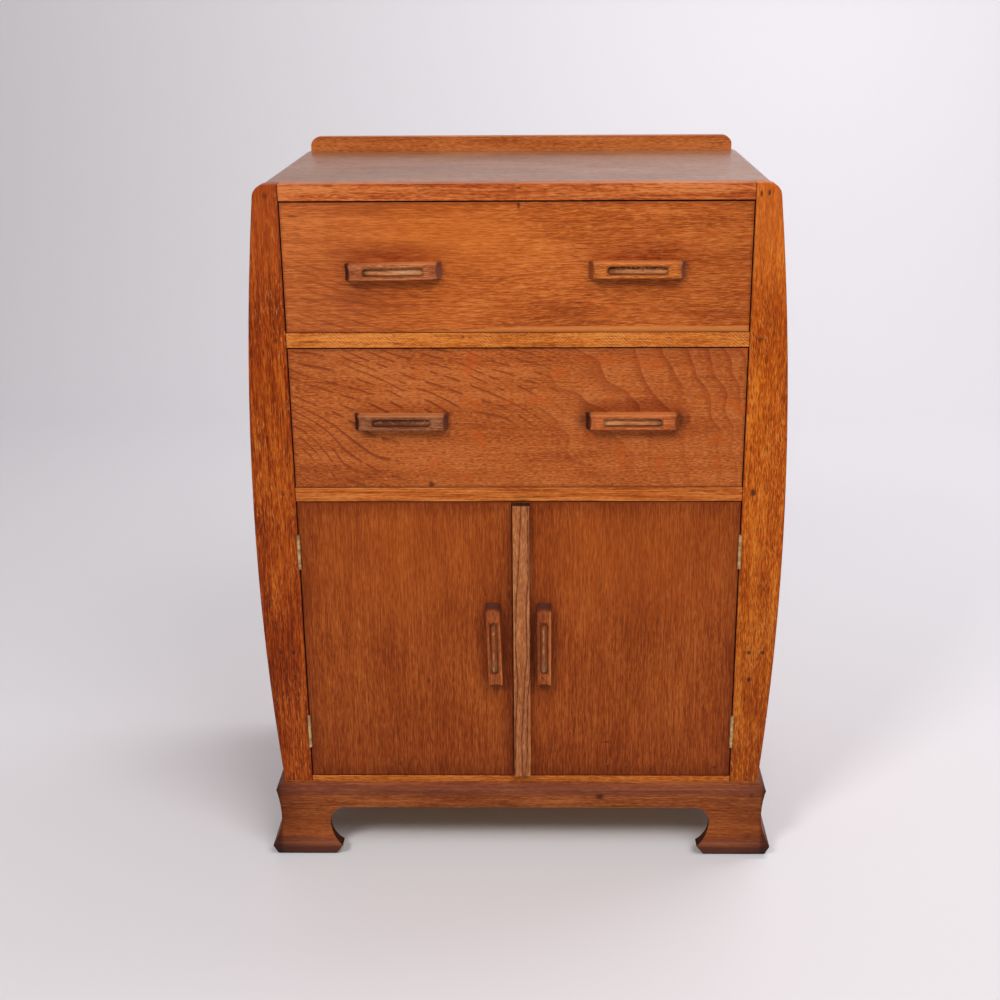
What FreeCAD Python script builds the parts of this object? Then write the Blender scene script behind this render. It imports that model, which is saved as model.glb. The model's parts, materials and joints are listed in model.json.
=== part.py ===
import FreeCAD, Part
import math
import os
from types import SimpleNamespace

import Sketcher

# A free-standing tallboy: two drawers over a cupboard with two doors, in a case with bowed sides,
# on a moulded plinth. Millimetres, +X right, +Y back, +Z up. The origin is on the floor, in the
# middle of the width and depth.

doc = FreeCAD.newDocument("tallboy")

# Driving dimensions, in millimetres, degrees and counts

DRIVING = {
    # Case
    "case_depth": 421,
    "stile_width": 61.7,
    "top_height": 1024,
    "top_thickness": 22.5,
    "corner_radius": 18.5,
    "bow_half_width": 381.6,
    "bow_swell": 29,
    "bow_height": 525.6,
    "stile_thickness": 22,
    "stile_arris": 1.5,
    "side_inset": 3,
    "side_thickness": 9,
    "side_rebate": 10,
    # Shelf rail along the back of the top
    "gallery_inset": 19.1,
    "gallery_height": 23,
    "gallery_thickness": 20,
    "gallery_corner": 14,
    # Rails between the drawers and the doors
    "rail_height": 20.5,
    "bottom_rail_height": 9,
    "tenon_length": 12,
    "tenon_thickness": 8,
    "upper_opening_height": 180.2,
    "lower_opening_height": 204.9,
    # Plinth
    "plinth_height": 120.3,
    "ridge_height": 112.2,
    "ridge_reach": 12.5,
    "neck_height": 62,
    "neck_reach": 7.2,
    "toe_height": 18.5,
    "toe_reach": 21,
    "sole_reach": 14,
    "toe_round": 4,
    "arch_height": 78.6,
    "front_arch_centre": -2.2,
    "foot_width": 91.4,
    "ear_height": 54,
    "ear_tuck": 19.2,
    "foot_tip_slope": 12.5,
    "block_width": 28,
    "block_height": 90,
    "lining_width": 18,
    "lining_height": 30,
    # Back, floor and shelf
    "back_rail_height": 50,
    "back_rail_thickness": 17,
    "back_panel_thickness": 5,
    "back_panel_lap": 12,
    "shelf_height": 331,
    "shelf_thickness": 12,
    "bearer_size": 15,
    # Drawer frames
    "runner_lap": 29,
    "guide_width": 26,
    "guide_height": 25,
    "dust_thickness": 4,
    "dust_groove": 6,
    "stop_length": 12.7,
    "stop_height": 12,
    "stop_gap": 0.3,
    # Drawers
    "drawer_front_thickness": 20,
    "drawer_lap": 6,
    "drawer_side_gap": 1.5,
    "drawer_top_gap": 2,
    "drawer_bottom_gap": 0.8,
    "drawer_side_thickness": 10,
    "drawer_side_drop": 6,
    "slide_clearance": 0.3,
    "drawer_groove": 5,
    "drawer_groove_height": 9,
    "drawer_bottom_thickness": 5,
    "drawer_back_inset": 8,
    "tail_count": 3,
    "tail_flare": 3,
    # Doors
    "door_thickness": 18,
    "door_edge_gap": 1.5,
    "door_top_gap": 1.5,
    "door_bottom_gap": 1.2,
    "meeting_centre": -9.5,
    "meeting_gap": 1,
    "strip_width": 25,
    "strip_thickness": 12.5,
    "strip_top_drop": 0.8,
    "strip_foot_rise": 4.6,
    "strip_screw_radius": 1.6,
    "strip_screw_head": 3.2,
    "strip_screw_bite": 8,
    # Hinges
    "hinge_length": 51,
    "hinge_inset": 77.3,
    "knuckle_radius": 2.5,
    "knuckle_gap": 0.1,
    "pin_radius": 1.2,
    "pin_clearance": 0.05,
    "pin_cap": 0.8,
    "axis_reach": 1.8,
    "leaf_thickness": 1.2,
    "leaf_recess": 1,
    "leaf_front": 0.8,
    "leaf_width": 15.2,
    "barrel_clearance": 0.4,
    "hinge_screw_radius": 1.4,
    "hinge_screw_head": 2.6,
    "hinge_screw_length": 14,
    "hinge_screw_spacing": 17,
    # Handles
    "handle_length": 131,
    "drawer_handle_height": 22,
    "door_handle_height": 20.5,
    "handle_reach": 16,
    "handle_arris": 1,
    "scoop_radius": 21.9,
    "scoop_out": 14.2,
    "scoop_forward": 2.6,
    "slot_length": 82,
    "slot_height": 11.2,
    "slot_depth": 5,
    "handle_screw_radius": 2,
    "handle_screw_head": 4,
    "handle_screw_bite": 9,
    "handle_screw_spacing": 100,
    "left_door_handle_inset": 27.3,
    "right_door_handle_inset": 45.5,
    "upper_left_handle_tilt": -1.2,
    "left_door_handle_tilt": 88.4,
    "upright_turn": 90,
    # Small fittings
    "nail_radius": 1.3,
    "nail_length": 42,
    "nail_inset": 17,
    "shelf_nail_inset": 19,
    "shelf_nail_edge": 8.5,
    "top_nail_height": 7.5,
    "catch_length": 40,
    "catch_depth": 14,
    "catch_height": 12,
    "catch_gap": 0.4,
    "catch_across": 44,
    "plate_length": 30,
    "plate_height": 13,
    "plate_thickness": 1.5,
    "plate_lift": 1,
    # How far every cutter runs past what it cuts
    "overrun": 3,
}

# Shares of the piece that each one follows; a drawer handle has one across and one up
TAIL_SHARE = 0.3
UPPER_LEFT_SHARES = (0.524, 0.483)
UPPER_RIGHT_SHARES = (0.510, 0.490)
LOWER_LEFT_SHARES = (0.510, 0.490)
LOWER_RIGHT_SHARES = (0.5035, 0.492)
DOOR_HANDLE_SHARE = 0.497
STRIP_SCREW_SHARE = 0.38

# How near a place an edge's middle has to be, to be picked for rounding, in millimetres
PICK_TOLERANCE = 1

# A turn of nothing keeps no axis, so a piece starts with this many degrees until its size is bound
STARTING_TURN = 1

sheet = doc.addObject("Spreadsheet::Sheet", "sizes")
for row, (alias, value) in enumerate(DRIVING.items(), start=1):
    sheet.set(f"A{row}", alias)
    sheet.set(f"B{row}", str(value))
    sheet.setAlias(f"B{row}", alias)
doc.recompute()


class Size:
    """A number worked out from the sheet's cells, together with its formula."""

    def __init__(self, value, formula):
        self.value = value
        self.formula = formula

    @staticmethod
    def of(other):
        return other if isinstance(other, Size) else Size(float(other), f"({other})")

    def __add__(self, other):
        other = Size.of(other)
        return Size(self.value + other.value, f"({self.formula} + {other.formula})")

    def __sub__(self, other):
        other = Size.of(other)
        return Size(self.value - other.value, f"({self.formula} - {other.formula})")

    def __mul__(self, other):
        other = Size.of(other)
        return Size(self.value * other.value, f"({self.formula} * {other.formula})")

    def __truediv__(self, other):
        other = Size.of(other)
        return Size(self.value / other.value, f"({self.formula} / {other.formula})")

    def __neg__(self):
        return Size(-self.value, f"(0 - {self.formula})")

    def root(self):
        return Size(math.sqrt(self.value), f"sqrt({self.formula})")


mm = SimpleNamespace(**{alias: Size(float(value), f"sizes.{alias}") for alias, value in DRIVING.items()})
ZERO = Size(0.0, "(0)")


# Helpers that make bound objects

def bind(item, **formulas):
    """Binds properties to sizes; a double underscore stands for the dot in a property's path."""
    for path, size in formulas.items():
        item.setExpression(path.replace("__", "."), size.formula)


def place(item, x, y, z):
    bind(item, Placement__Base__x=x, Placement__Base__y=y, Placement__Base__z=z)


def block(name, x, y, z):
    """A rectangular piece between pairs of sizes along each axis."""
    item = doc.addObject("Part::Box", name)
    bind(item, Length=x[1] - x[0], Width=y[1] - y[0], Height=z[1] - z[0])
    place(item, x[0], y[0], z[0])
    return item


# Turns that lay a cylinder's own +Z along each direction
ALONG = {
    "z": FreeCAD.Rotation(),
    "x": FreeCAD.Rotation(FreeCAD.Vector(0, 1, 0), 90),
    "-x": FreeCAD.Rotation(FreeCAD.Vector(0, 1, 0), -90),
    "y": FreeCAD.Rotation(FreeCAD.Vector(1, 0, 0), -90),
    "-y": FreeCAD.Rotation(FreeCAD.Vector(1, 0, 0), 90),
}


def rod(name, start, radius, length, along):
    """A round bar from its start point in a direction."""
    item = doc.addObject("Part::Cylinder", name)
    item.Placement = FreeCAD.Placement(FreeCAD.Vector(), ALONG[along])
    bind(item, Radius=radius, Height=length)
    place(item, *start)
    return item


def taper(name, start, first_radius, second_radius, length, along):
    """A cone between two radii from its start point in a direction."""
    item = doc.addObject("Part::Cone", name)
    item.Placement = FreeCAD.Placement(FreeCAD.Vector(), ALONG[along])
    bind(item, Radius1=first_radius, Radius2=second_radius, Height=length)
    place(item, *start)
    return item


def join(name, *parts):
    """One solid from several that meet."""
    item = doc.addObject("Part::MultiFuse", name)
    item.Shapes = list(parts)
    item.Refine = True
    return item


def group(name, *parts):
    """Separate solids that share a name."""
    item = doc.addObject("Part::Compound", name)
    item.Links = list(parts)
    return item


def cut(name, base, *tools):
    item = doc.addObject("Part::Cut", name)
    item.Base = base
    item.Tool = tools[0] if len(tools) == 1 else group(name + "_cutters", *tools)
    return item


def mirror(name, source):
    """The left-hand twin of a right-hand piece."""
    item = doc.addObject("Part::Mirroring", name)
    item.Source = source
    item.Normal = FreeCAD.Vector(1, 0, 0)
    item.Base = FreeCAD.Vector(0, 0, 0)
    return item


# Which origin plane a slab is drawn on, and whether its thickness runs against the plane's normal
PLANES = {"xy": ("XY_Plane", 1), "xz": ("XZ_Plane", -1), "yz": ("YZ_Plane", 1)}


def slab(name, plane, start, end, corners):
    """A body padded between start and end from an outline of corners (across, up, radius).

    Corners run anticlockwise. The radius belongs to the edge that leaves the corner: None for a
    straight edge, positive for an arc that bulges outwards, negative for one that is hollow."""
    body = doc.addObject("PartDesign::Body", name)
    role, sense = PLANES[plane]
    sketch = body.newObject("Sketcher::SketchObject", name + "_outline")
    origin_plane = next(item for item in body.Origin.OriginFeatures if item.Role == role)
    sketch.AttachmentSupport = (origin_plane, "")
    sketch.MapMode = "FlatFace"
    bind(sketch, AttachmentOffset__Base__z=start * sense)
    points = [FreeCAD.Vector(across.value, up.value, 0) for across, up, radius in corners]
    count = len(corners)
    ends = []
    for index, (across, up, radius) in enumerate(corners):
        first = points[index]
        last = points[(index + 1) % count]
        if radius is None:
            sketch.addGeometry(Part.LineSegment(first, last))
            ends.append((1, 2))
        else:
            sketch.addGeometry(arc_between(first, last, radius.value))
            ends.append((1, 2) if radius.value > 0 else (2, 1))
    for index, (across, up, radius) in enumerate(corners):
        following = (index + 1) % count
        sketch.addConstraint(
            Sketcher.Constraint("Coincident", index, ends[index][1], following, ends[following][0]))
        pin_corner(sketch, index, ends[index][0], "DistanceX", across)
        pin_corner(sketch, index, ends[index][0], "DistanceY", up)
        if radius is not None:
            size = radius if radius.value > 0 else -radius
            named = sketch.addConstraint(Sketcher.Constraint("Radius", index, size.value))
            sketch.setExpression(f"Constraints[{named}]", size.formula)
    pad = body.newObject("PartDesign::Pad", name + "_pad")
    pad.Profile = sketch
    pad.Reversed = sense < 0
    bind(pad, Length=end - start)
    return body


def pin_corner(sketch, index, end, kind, size):
    """Ties one coordinate of a corner to its size."""
    named = sketch.addConstraint(Sketcher.Constraint(kind, -1, 1, index, end, size.value))
    sketch.setExpression(f"Constraints[{named}]", size.formula)


def arc_between(first, last, radius):
    """The shorter arc between two points; a positive radius turns anticlockwise."""
    chord = last - first
    middle = (first + last) * 0.5
    square = FreeCAD.Vector(-chord.y, chord.x, 0).normalize()
    rise = math.sqrt(radius ** 2 - (chord.Length / 2) ** 2)
    centre = middle + square * math.copysign(rise, radius)
    start, stop = (first, last) if radius > 0 else (last, first)
    circle = Part.Circle(centre, FreeCAD.Vector(0, 0, 1), abs(radius))
    return Part.ArcOfCircle(circle, math.atan2(start.y - centre.y, start.x - centre.x),
                            math.atan2(stop.y - centre.y, stop.x - centre.x))


def round_edges(body, radius, wanted):
    """Fillets the edges of a body whose middle point passes a test."""
    doc.recompute()
    edges = [f"Edge{number}" for number, edge in enumerate(body.Shape.Edges, start=1)
             if wanted(edge.CenterOfMass)]
    sharp = body.Tip
    fillet = body.newObject("PartDesign::Fillet", body.Name + "_rounding")
    fillet.Base = (sharp, edges)
    bind(fillet, Radius=radius)
    doc.recompute()
    return body


# Planes and heights that many pieces share

face = (mm.toe_reach - mm.case_depth) / 2
back = face + mm.case_depth
stile_back = face + mm.stile_thickness
back_stile_front = back - mm.stile_thickness
half_opening = mm.bow_half_width - mm.stile_width
top_underside = mm.top_height - mm.top_thickness
upper_opening = top_underside - mm.upper_opening_height
lower_opening_top = upper_opening - mm.rail_height
lower_opening = lower_opening_top - mm.lower_opening_height
door_opening_top = lower_opening - mm.rail_height
door_opening = mm.plinth_height + mm.bottom_rail_height
shelf_top = mm.shelf_height + mm.shelf_thickness


def upright_arc(rise, shift):
    """The radius of an arc that sets out upright and moves sideways by a shift over a rise."""
    return (rise * rise / shift + shift) / 2


# The front stiles follow one arc, widest at the bow height and narrower by the swell at the top
bow_radius = upright_arc(mm.top_height - mm.bow_height, mm.bow_swell)


def bow(height, inset=ZERO):
    """Half the width of the bowed case at a height, or of a surface set in from it."""
    radius = bow_radius - inset
    rise = height - mm.bow_height
    return mm.bow_half_width - bow_radius + (radius * radius - rise * rise).root()


# Case sides

def bowed_slab(name, start, end, inner, bottom, top, inset=ZERO):
    """A right-hand upright with a straight inner edge and a bowed outer edge."""
    return slab(name, "xz", start, end, [
        (inner, bottom, None),
        (bow(bottom, inset), bottom, bow_radius - inset),
        (bow(top, inset), top, None),
        (inner, top, None)])


# The side panels, the top and the back stiles stand in from the outer edge of the front stiles
panel_inset = mm.side_inset + mm.side_thickness
side_panel = slab(
    "side_panel_right", "xz", stile_back - mm.side_rebate, back_stile_front + mm.side_rebate, [
        (bow(mm.plinth_height, panel_inset), mm.plinth_height, None),
        (bow(mm.plinth_height, mm.side_inset), mm.plinth_height, bow_radius - mm.side_inset),
        (bow(top_underside, mm.side_inset), top_underside, None),
        (bow(top_underside, panel_inset), top_underside, panel_inset - bow_radius)])


def rail(name, front, depth, bottom, top, half_length):
    """A rail with a centred stub tenon on each end."""
    middle = (bottom + top) / 2
    tongue = (top - bottom) / 3
    root = front + (depth - mm.tenon_thickness) / 2
    reach = half_length + mm.tenon_length
    return join(
        name,
        block(name + "_board", (-half_length, half_length), (front, front + depth), (bottom, top)),
        block(name + "_tenons", (-reach, reach), (root, root + mm.tenon_thickness),
              (middle - tongue, middle + tongue)))


top_front_rail = rail("top_front_rail", face, mm.stile_thickness, top_underside, mm.top_height,
                      half_opening)
upper_drawer_rail = rail("upper_drawer_rail", face, mm.stile_thickness, lower_opening_top,
                         upper_opening, half_opening)
lower_rail_blank = rail("lower_rail_blank", face, mm.stile_thickness, door_opening_top,
                        lower_opening, half_opening)
bottom_rail = rail("bottom_rail", face, mm.stile_thickness, mm.plinth_height, door_opening,
                   half_opening)
front_rails = [top_front_rail, upper_drawer_rail, lower_rail_blank, bottom_rail]

# Back rails sit between the back stiles, in front of the back panel

back_panel_front = back - mm.back_panel_thickness
back_rail_front = back_panel_front - mm.back_rail_thickness
back_rail_bottoms = [
    mm.plinth_height,
    (door_opening_top + lower_opening - mm.back_rail_height) / 2,
    top_underside - mm.back_rail_height]
back_rail_list = [
    rail(f"back_rail_{number}", back_rail_front, mm.back_rail_thickness, bottom,
         bottom + mm.back_rail_height, half_opening)
    for number, bottom in enumerate(back_rail_bottoms, start=1)]
back_rails = group("back_rails", *back_rail_list)
back_panel_half = half_opening + mm.back_panel_lap
back_panel = block("back_panel", (-back_panel_half, back_panel_half), (back_panel_front, back),
                   (mm.plinth_height, top_underside))

# Runners carry the drawers and butt against the stiles; guides steer them and stops end their travel

runner_inner = half_opening - mm.runner_lap
runner_outer = half_opening + mm.guide_width
runner_tops = {"upper": upper_opening, "lower": lower_opening}
dust_middle = (door_opening_top + lower_opening) / 2
dust_half = runner_inner + mm.dust_groove
dust_panel = block("dust_panel", (-dust_half, dust_half),
                   (stile_back - mm.dust_groove, back_rail_front),
                   (dust_middle - mm.dust_thickness / 2, dust_middle + mm.dust_thickness / 2))
lower_drawer_rail = cut("lower_drawer_rail", lower_rail_blank, dust_panel)

runner_blanks = []
guides = []
stops = []
drawer_side_rear = back_stile_front - mm.stop_length - mm.stop_gap
side_outer = half_opening - mm.drawer_side_gap
side_inner = side_outer - mm.drawer_side_thickness
for level, runner_top in runner_tops.items():
    runner = block(f"{level}_runner", (runner_inner, runner_outer), (stile_back, back_stile_front),
                   (runner_top - mm.rail_height, runner_top))
    guide = block(f"{level}_guide", (half_opening, runner_outer), (stile_back, back_stile_front),
                  (runner_top, runner_top + mm.guide_height))
    stop = block(f"{level}_stop", (side_inner, half_opening),
                 (drawer_side_rear + mm.stop_gap, back_stile_front),
                 (runner_top, runner_top + mm.stop_height))
    runner_blanks.append(runner)
    guides.append(guide)
    stops.append(stop)
drawer_guides = group("drawer_guides", *guides, mirror("left_guides", group("right_guides", *guides)))
drawer_stops = group("drawer_stops", *stops, mirror("left_stops", group("right_stops", *stops)))

# Cupboard floor, shelf and the bearers under the shelf

floor_half = bow(mm.plinth_height, panel_inset)
cupboard_floor = block("cupboard_floor", (-floor_half, floor_half), (stile_back, back_stile_front),
                       (mm.plinth_height, door_opening))
shelf_half = bow(mm.shelf_height, panel_inset)
shelf_blank = block("shelf_blank", (-shelf_half, shelf_half), (stile_back, back_stile_front),
                    (mm.shelf_height, shelf_top))
bearer_bottom = mm.shelf_height - mm.bearer_size
bearer_outer = bow(bearer_bottom, panel_inset)
bearer = block("right_bearer", (bearer_outer - mm.bearer_size, bearer_outer),
               (stile_back, back_stile_front), (bearer_bottom, mm.shelf_height))
shelf_bearers = group("shelf_bearers", bearer, mirror("left_bearer", bearer))

# Top panel and the shelf rail that stands on its back edge

top_half = bow(mm.top_height, mm.side_inset)
top_underside_half = bow(top_underside, mm.side_inset)
top_blank = slab("top_blank", "xz", stile_back, back, [
    (-top_underside_half, top_underside, None),
    (top_underside_half, top_underside, bow_radius - mm.side_inset),
    (top_half, mm.top_height, None),
    (-top_half, mm.top_height, bow_radius - mm.side_inset)])
corner_limit = mm.top_height.value - PICK_TOLERANCE
round_edges(top_blank, mm.corner_radius,
            lambda middle: middle.z > corner_limit and abs(middle.x) > half_opening.value)

gallery_half = bow(mm.top_height) - mm.gallery_inset
gallery_top = mm.top_height + mm.gallery_height
gallery = slab("gallery", "xz", back - mm.gallery_thickness, back, [
    (-gallery_half, mm.top_height, None),
    (gallery_half, mm.top_height, None),
    (gallery_half, gallery_top, None),
    (-gallery_half, gallery_top, None)])
gallery_limit = gallery_top.value - PICK_TOLERANCE
gallery_end = gallery_half.value - PICK_TOLERANCE
round_edges(gallery, mm.gallery_corner,
            lambda middle: middle.z > gallery_limit and abs(middle.x) > gallery_end)

# Nails driven through the front stiles into the top, the runners and the shelf

nail_x = half_opening + mm.nail_inset
shelf_nail_x = half_opening + mm.shelf_nail_inset
shelf_nail_z = mm.shelf_height + mm.shelf_thickness / 2
nail_places = [
    (nail_x, top_underside + mm.top_nail_height),
    (nail_x, upper_opening - mm.rail_height / 2),
    (nail_x, lower_opening - mm.rail_height / 2),
    (shelf_nail_x, shelf_nail_z),
    (bow(shelf_nail_z, panel_inset) - mm.shelf_nail_edge, shelf_nail_z)]
right_nails = group("right_nails", *[
    rod(f"nail_{number}", (x, face, z), mm.nail_radius, mm.nail_length, "y")
    for number, (x, z) in enumerate(nail_places, start=1)])
face_nails = group("face_nails", right_nails, mirror("left_nails", right_nails))

top_panel = cut("top_panel", top_blank, face_nails)
cupboard_shelf = cut("cupboard_shelf", shelf_blank, face_nails)
right_runners = cut("right_runners", group("runner_blanks", *runner_blanks), right_nails, dust_panel)
drawer_runners = group("drawer_runners", right_runners, mirror("left_runners", right_runners))

# Hinges: a fixed leaf on the stile, a moving leaf on the door and a capped pin, drawn on the right

axis_x = half_opening - mm.door_edge_gap / 2
axis_y = face - mm.axis_reach
door_edge = half_opening - mm.door_edge_gap
knuckle_count = 5
leaf_y = (face + mm.leaf_front, face + mm.leaf_front + mm.leaf_width)
screw_y = (leaf_y[0] + leaf_y[1]) / 2
stile_leaf_x = (half_opening + mm.leaf_recess - mm.leaf_thickness, half_opening + mm.leaf_recess)
door_leaf_x = (door_edge - mm.leaf_recess, door_edge - mm.leaf_recess + mm.leaf_thickness)


def wood_screw(name, start, head_radius, radius, head_length, length, along, buried):
    """A countersunk screw: its head starts at the face it is driven from."""
    return join(
        name,
        taper(name + "_head", start, head_radius, radius, head_length, along),
        rod(name + "_shank", buried, radius, length, along))


def hinge_leaf(name, leaf_x, bottom, segments, screws):
    """A leaf with its own knuckles, bored for the pin and countersunk for the screws."""
    top = bottom + mm.hinge_length
    pitch = mm.hinge_length / knuckle_count
    parts = [block(name + "_plate", leaf_x, leaf_y, (bottom, top))]
    for segment in segments:
        low = bottom + pitch * segment + mm.knuckle_gap / 2
        length = pitch - mm.knuckle_gap
        parts.append(rod(f"{name}_knuckle_{segment}", (axis_x, axis_y, low), mm.knuckle_radius,
                         length, "z"))
        parts.append(block(f"{name}_tab_{segment}", leaf_x, (axis_y, leaf_y[0]), (low, low + length)))
    bore = rod(name + "_bore", (axis_x, axis_y, bottom - mm.overrun),
               mm.pin_radius + mm.pin_clearance, mm.hinge_length + mm.overrun * 2, "z")
    return cut(name, join(name + "_blank", *parts), bore, *screws)


hinge_parts = {"stile_leaf": [], "door_leaf": [], "pin": [], "stile_screw": [], "door_screw": [],
               "relief": []}
hinge_centres = {"upper": door_opening_top - mm.hinge_inset, "lower": door_opening + mm.hinge_inset}
for place_name, centre in hinge_centres.items():
    bottom = centre - mm.hinge_length / 2
    stile_screws = []
    door_screws = []
    for row in (-1, 0, 1):
        height = centre + mm.hinge_screw_spacing * row
        shape = (mm.hinge_screw_head, mm.hinge_screw_radius, mm.leaf_thickness, mm.hinge_screw_length)
        stile_screws.append(wood_screw(
            f"{place_name}_stile_screw_{row + 1}", (stile_leaf_x[0], screw_y, height), *shape, "x",
            (stile_leaf_x[1], screw_y, height)))
        door_screws.append(wood_screw(
            f"{place_name}_door_screw_{row + 1}", (door_leaf_x[1], screw_y, height), *shape, "-x",
            (door_leaf_x[0], screw_y, height)))
    pin_bottom = bottom + mm.knuckle_gap / 2 - mm.pin_cap
    pin_length = mm.hinge_length - mm.knuckle_gap + mm.pin_cap * 2
    cap_places = (pin_bottom, pin_bottom + pin_length - mm.pin_cap)
    pin = join(
        f"{place_name}_pin",
        rod(f"{place_name}_pin_shank", (axis_x, axis_y, pin_bottom), mm.pin_radius, pin_length, "z"),
        *[rod(f"{place_name}_pin_cap_{number}", (axis_x, axis_y, low), mm.knuckle_radius,
              mm.pin_cap, "z") for number, low in enumerate(cap_places, start=1)])
    relief = rod(f"{place_name}_relief", (axis_x, axis_y, pin_bottom - mm.barrel_clearance),
                 mm.knuckle_radius + mm.barrel_clearance, pin_length + mm.barrel_clearance * 2, "z")
    hinge_parts["stile_leaf"].append(
        hinge_leaf(f"{place_name}_stile_leaf", stile_leaf_x, bottom, (0, 2, 4), stile_screws))
    hinge_parts["door_leaf"].append(
        hinge_leaf(f"{place_name}_door_leaf", door_leaf_x, bottom, (1, 3), door_screws))
    hinge_parts["pin"].append(pin)
    hinge_parts["stile_screw"] += stile_screws
    hinge_parts["door_screw"] += door_screws
    hinge_parts["relief"].append(relief)

right_of = {kind: group(f"right_{kind}_set", *parts) for kind, parts in hinge_parts.items()}
left_of = {kind: mirror(f"left_{kind}_set", parts) for kind, parts in right_of.items()}
stile_hinge_leaves = group("stile_hinge_leaves", right_of["stile_leaf"], left_of["stile_leaf"])
hinge_pins = group("hinge_pins", right_of["pin"], left_of["pin"])
stile_hinge_screws = group("stile_hinge_screws", right_of["stile_screw"], left_of["stile_screw"])

# Stiles, cut for the side panels, rails, nails and hinges

front_stile_blank = bowed_slab("front_stile_blank", face, stile_back, half_opening,
                               mm.plinth_height, mm.top_height)
outer_limit = bow(mm.top_height).value - PICK_TOLERANCE
front_limit = face.value + PICK_TOLERANCE
round_edges(front_stile_blank, mm.corner_radius,
            lambda middle: middle.z > corner_limit and middle.x > outer_limit)
round_edges(front_stile_blank, mm.stile_arris,
            lambda middle: middle.y < front_limit and middle.x > outer_limit)
front_stile_right = cut(
    "front_stile_right", front_stile_blank, side_panel, *front_rails, right_nails,
    right_of["stile_leaf"], right_of["stile_screw"], right_of["relief"])
front_stile_left = mirror("front_stile_left", front_stile_right)

back_stile_blank = bowed_slab("back_stile_blank", back_stile_front, back, half_opening,
                              mm.plinth_height, top_underside, mm.side_inset)
back_stile_right = cut("back_stile_right", back_stile_blank, side_panel, *back_rail_list, back_panel)
back_stile_left = mirror("back_stile_left", back_stile_right)
side_panel_left = mirror("side_panel_left", side_panel)

# Plinth boards, mitred at the front corners and cut away between the feet

case_foot = bow(mm.plinth_height)
toe_x = case_foot + mm.toe_reach
toe_y = face - mm.toe_reach
mitre_run = mm.toe_reach + mm.overrun
crown_radius = mm.arch_height - mm.ear_height
ear_radius = upright_arc(mm.ear_height - mm.toe_height, mm.ear_tuck)


def arch(name, plane, start, end, middle, half_length):
    """The space between two feet: a flat top, an ear scooped into each foot and tips that slope away."""
    ear = half_length - mm.foot_width
    crown = ear - crown_radius
    tip = ear - mm.ear_tuck
    sole = tip + mm.foot_tip_slope
    low = -mm.overrun
    return slab(name, plane, start, end, [
        (middle - sole, low, None),
        (middle + sole, low, None),
        (middle + sole, ZERO, None),
        (middle + tip, mm.toe_height, ear_radius),
        (middle + ear, mm.ear_height, crown_radius),
        (middle + crown, mm.arch_height, None),
        (middle - crown, mm.arch_height, crown_radius),
        (middle - ear, mm.ear_height, ear_radius),
        (middle - tip, mm.toe_height, None),
        (middle - sole, ZERO, None)])


# The moulding is hollow between its ridge and its toe, in two arcs that meet upright at the neck
upper_hollow = upright_arc(mm.ridge_height - mm.neck_height, mm.ridge_reach - mm.neck_reach)
lower_hollow = upright_arc(mm.neck_height - mm.toe_height, mm.toe_reach - mm.neck_reach)
plinth_front_blank = slab("plinth_front_blank", "yz", -toe_x, toe_x, [
    (face - mm.sole_reach, ZERO, None),
    (face, ZERO, None),
    (face, mm.plinth_height, None),
    (face - mm.ridge_reach, mm.ridge_height, -upper_hollow),
    (face - mm.neck_reach, mm.neck_height, -lower_hollow),
    (toe_y, mm.toe_height, None)])
plinth_side_blank = slab("plinth_side_blank", "xz", toe_y, back, [
    (case_foot, ZERO, None),
    (case_foot + mm.sole_reach, ZERO, None),
    (toe_x, mm.toe_height, -lower_hollow),
    (case_foot + mm.neck_reach, mm.neck_height, -upper_hollow),
    (case_foot + mm.ridge_reach, mm.ridge_height, None),
    (case_foot, mm.plinth_height, None)])
toe_level = mm.toe_height.value + PICK_TOLERANCE
front_inner = face.value - PICK_TOLERANCE
side_inner_limit = case_foot.value + PICK_TOLERANCE
round_edges(plinth_front_blank, mm.toe_round,
            lambda middle: middle.z < toe_level and middle.y < front_inner
            and abs(middle.x) < side_inner_limit)
round_edges(plinth_side_blank, mm.toe_round,
            lambda middle: middle.z < toe_level and middle.x > side_inner_limit
            and abs(middle.y) < back.value - PICK_TOLERANCE)
mitre_outer = (toe_x + mm.overrun, toe_y - mm.overrun, None)
mitre_inner = (toe_x - mitre_run, toe_y + mitre_run, None)
mitre_bottom = -mm.overrun
mitre_top = mm.plinth_height + mm.overrun
front_mitre = slab("front_mitre", "xy", mitre_bottom, mitre_top, [
    mitre_outer, (mitre_outer[0], mitre_inner[1], None), mitre_inner])
side_mitre = slab("side_mitre", "xy", mitre_bottom, mitre_top, [
    mitre_outer, mitre_inner, (mitre_inner[0], mitre_outer[1], None)])
front_arch = arch("front_arch", "xz", toe_y - mm.overrun, face + mm.overrun, mm.front_arch_centre,
                  toe_x)
side_arch = arch("side_arch", "yz", case_foot - mm.overrun, toe_x + mm.overrun, (back + toe_y) / 2,
                 (back - toe_y) / 2)
plinth_front = cut("plinth_front", plinth_front_blank, front_arch, front_mitre,
                   mirror("left_front_mitre", front_mitre))
plinth_side_right = cut("plinth_side_right", plinth_side_blank, side_arch, side_mitre)
plinth_side_left = mirror("plinth_side_left", plinth_side_right)

# Behind the boards, corner blocks and linings carry the case

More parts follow.
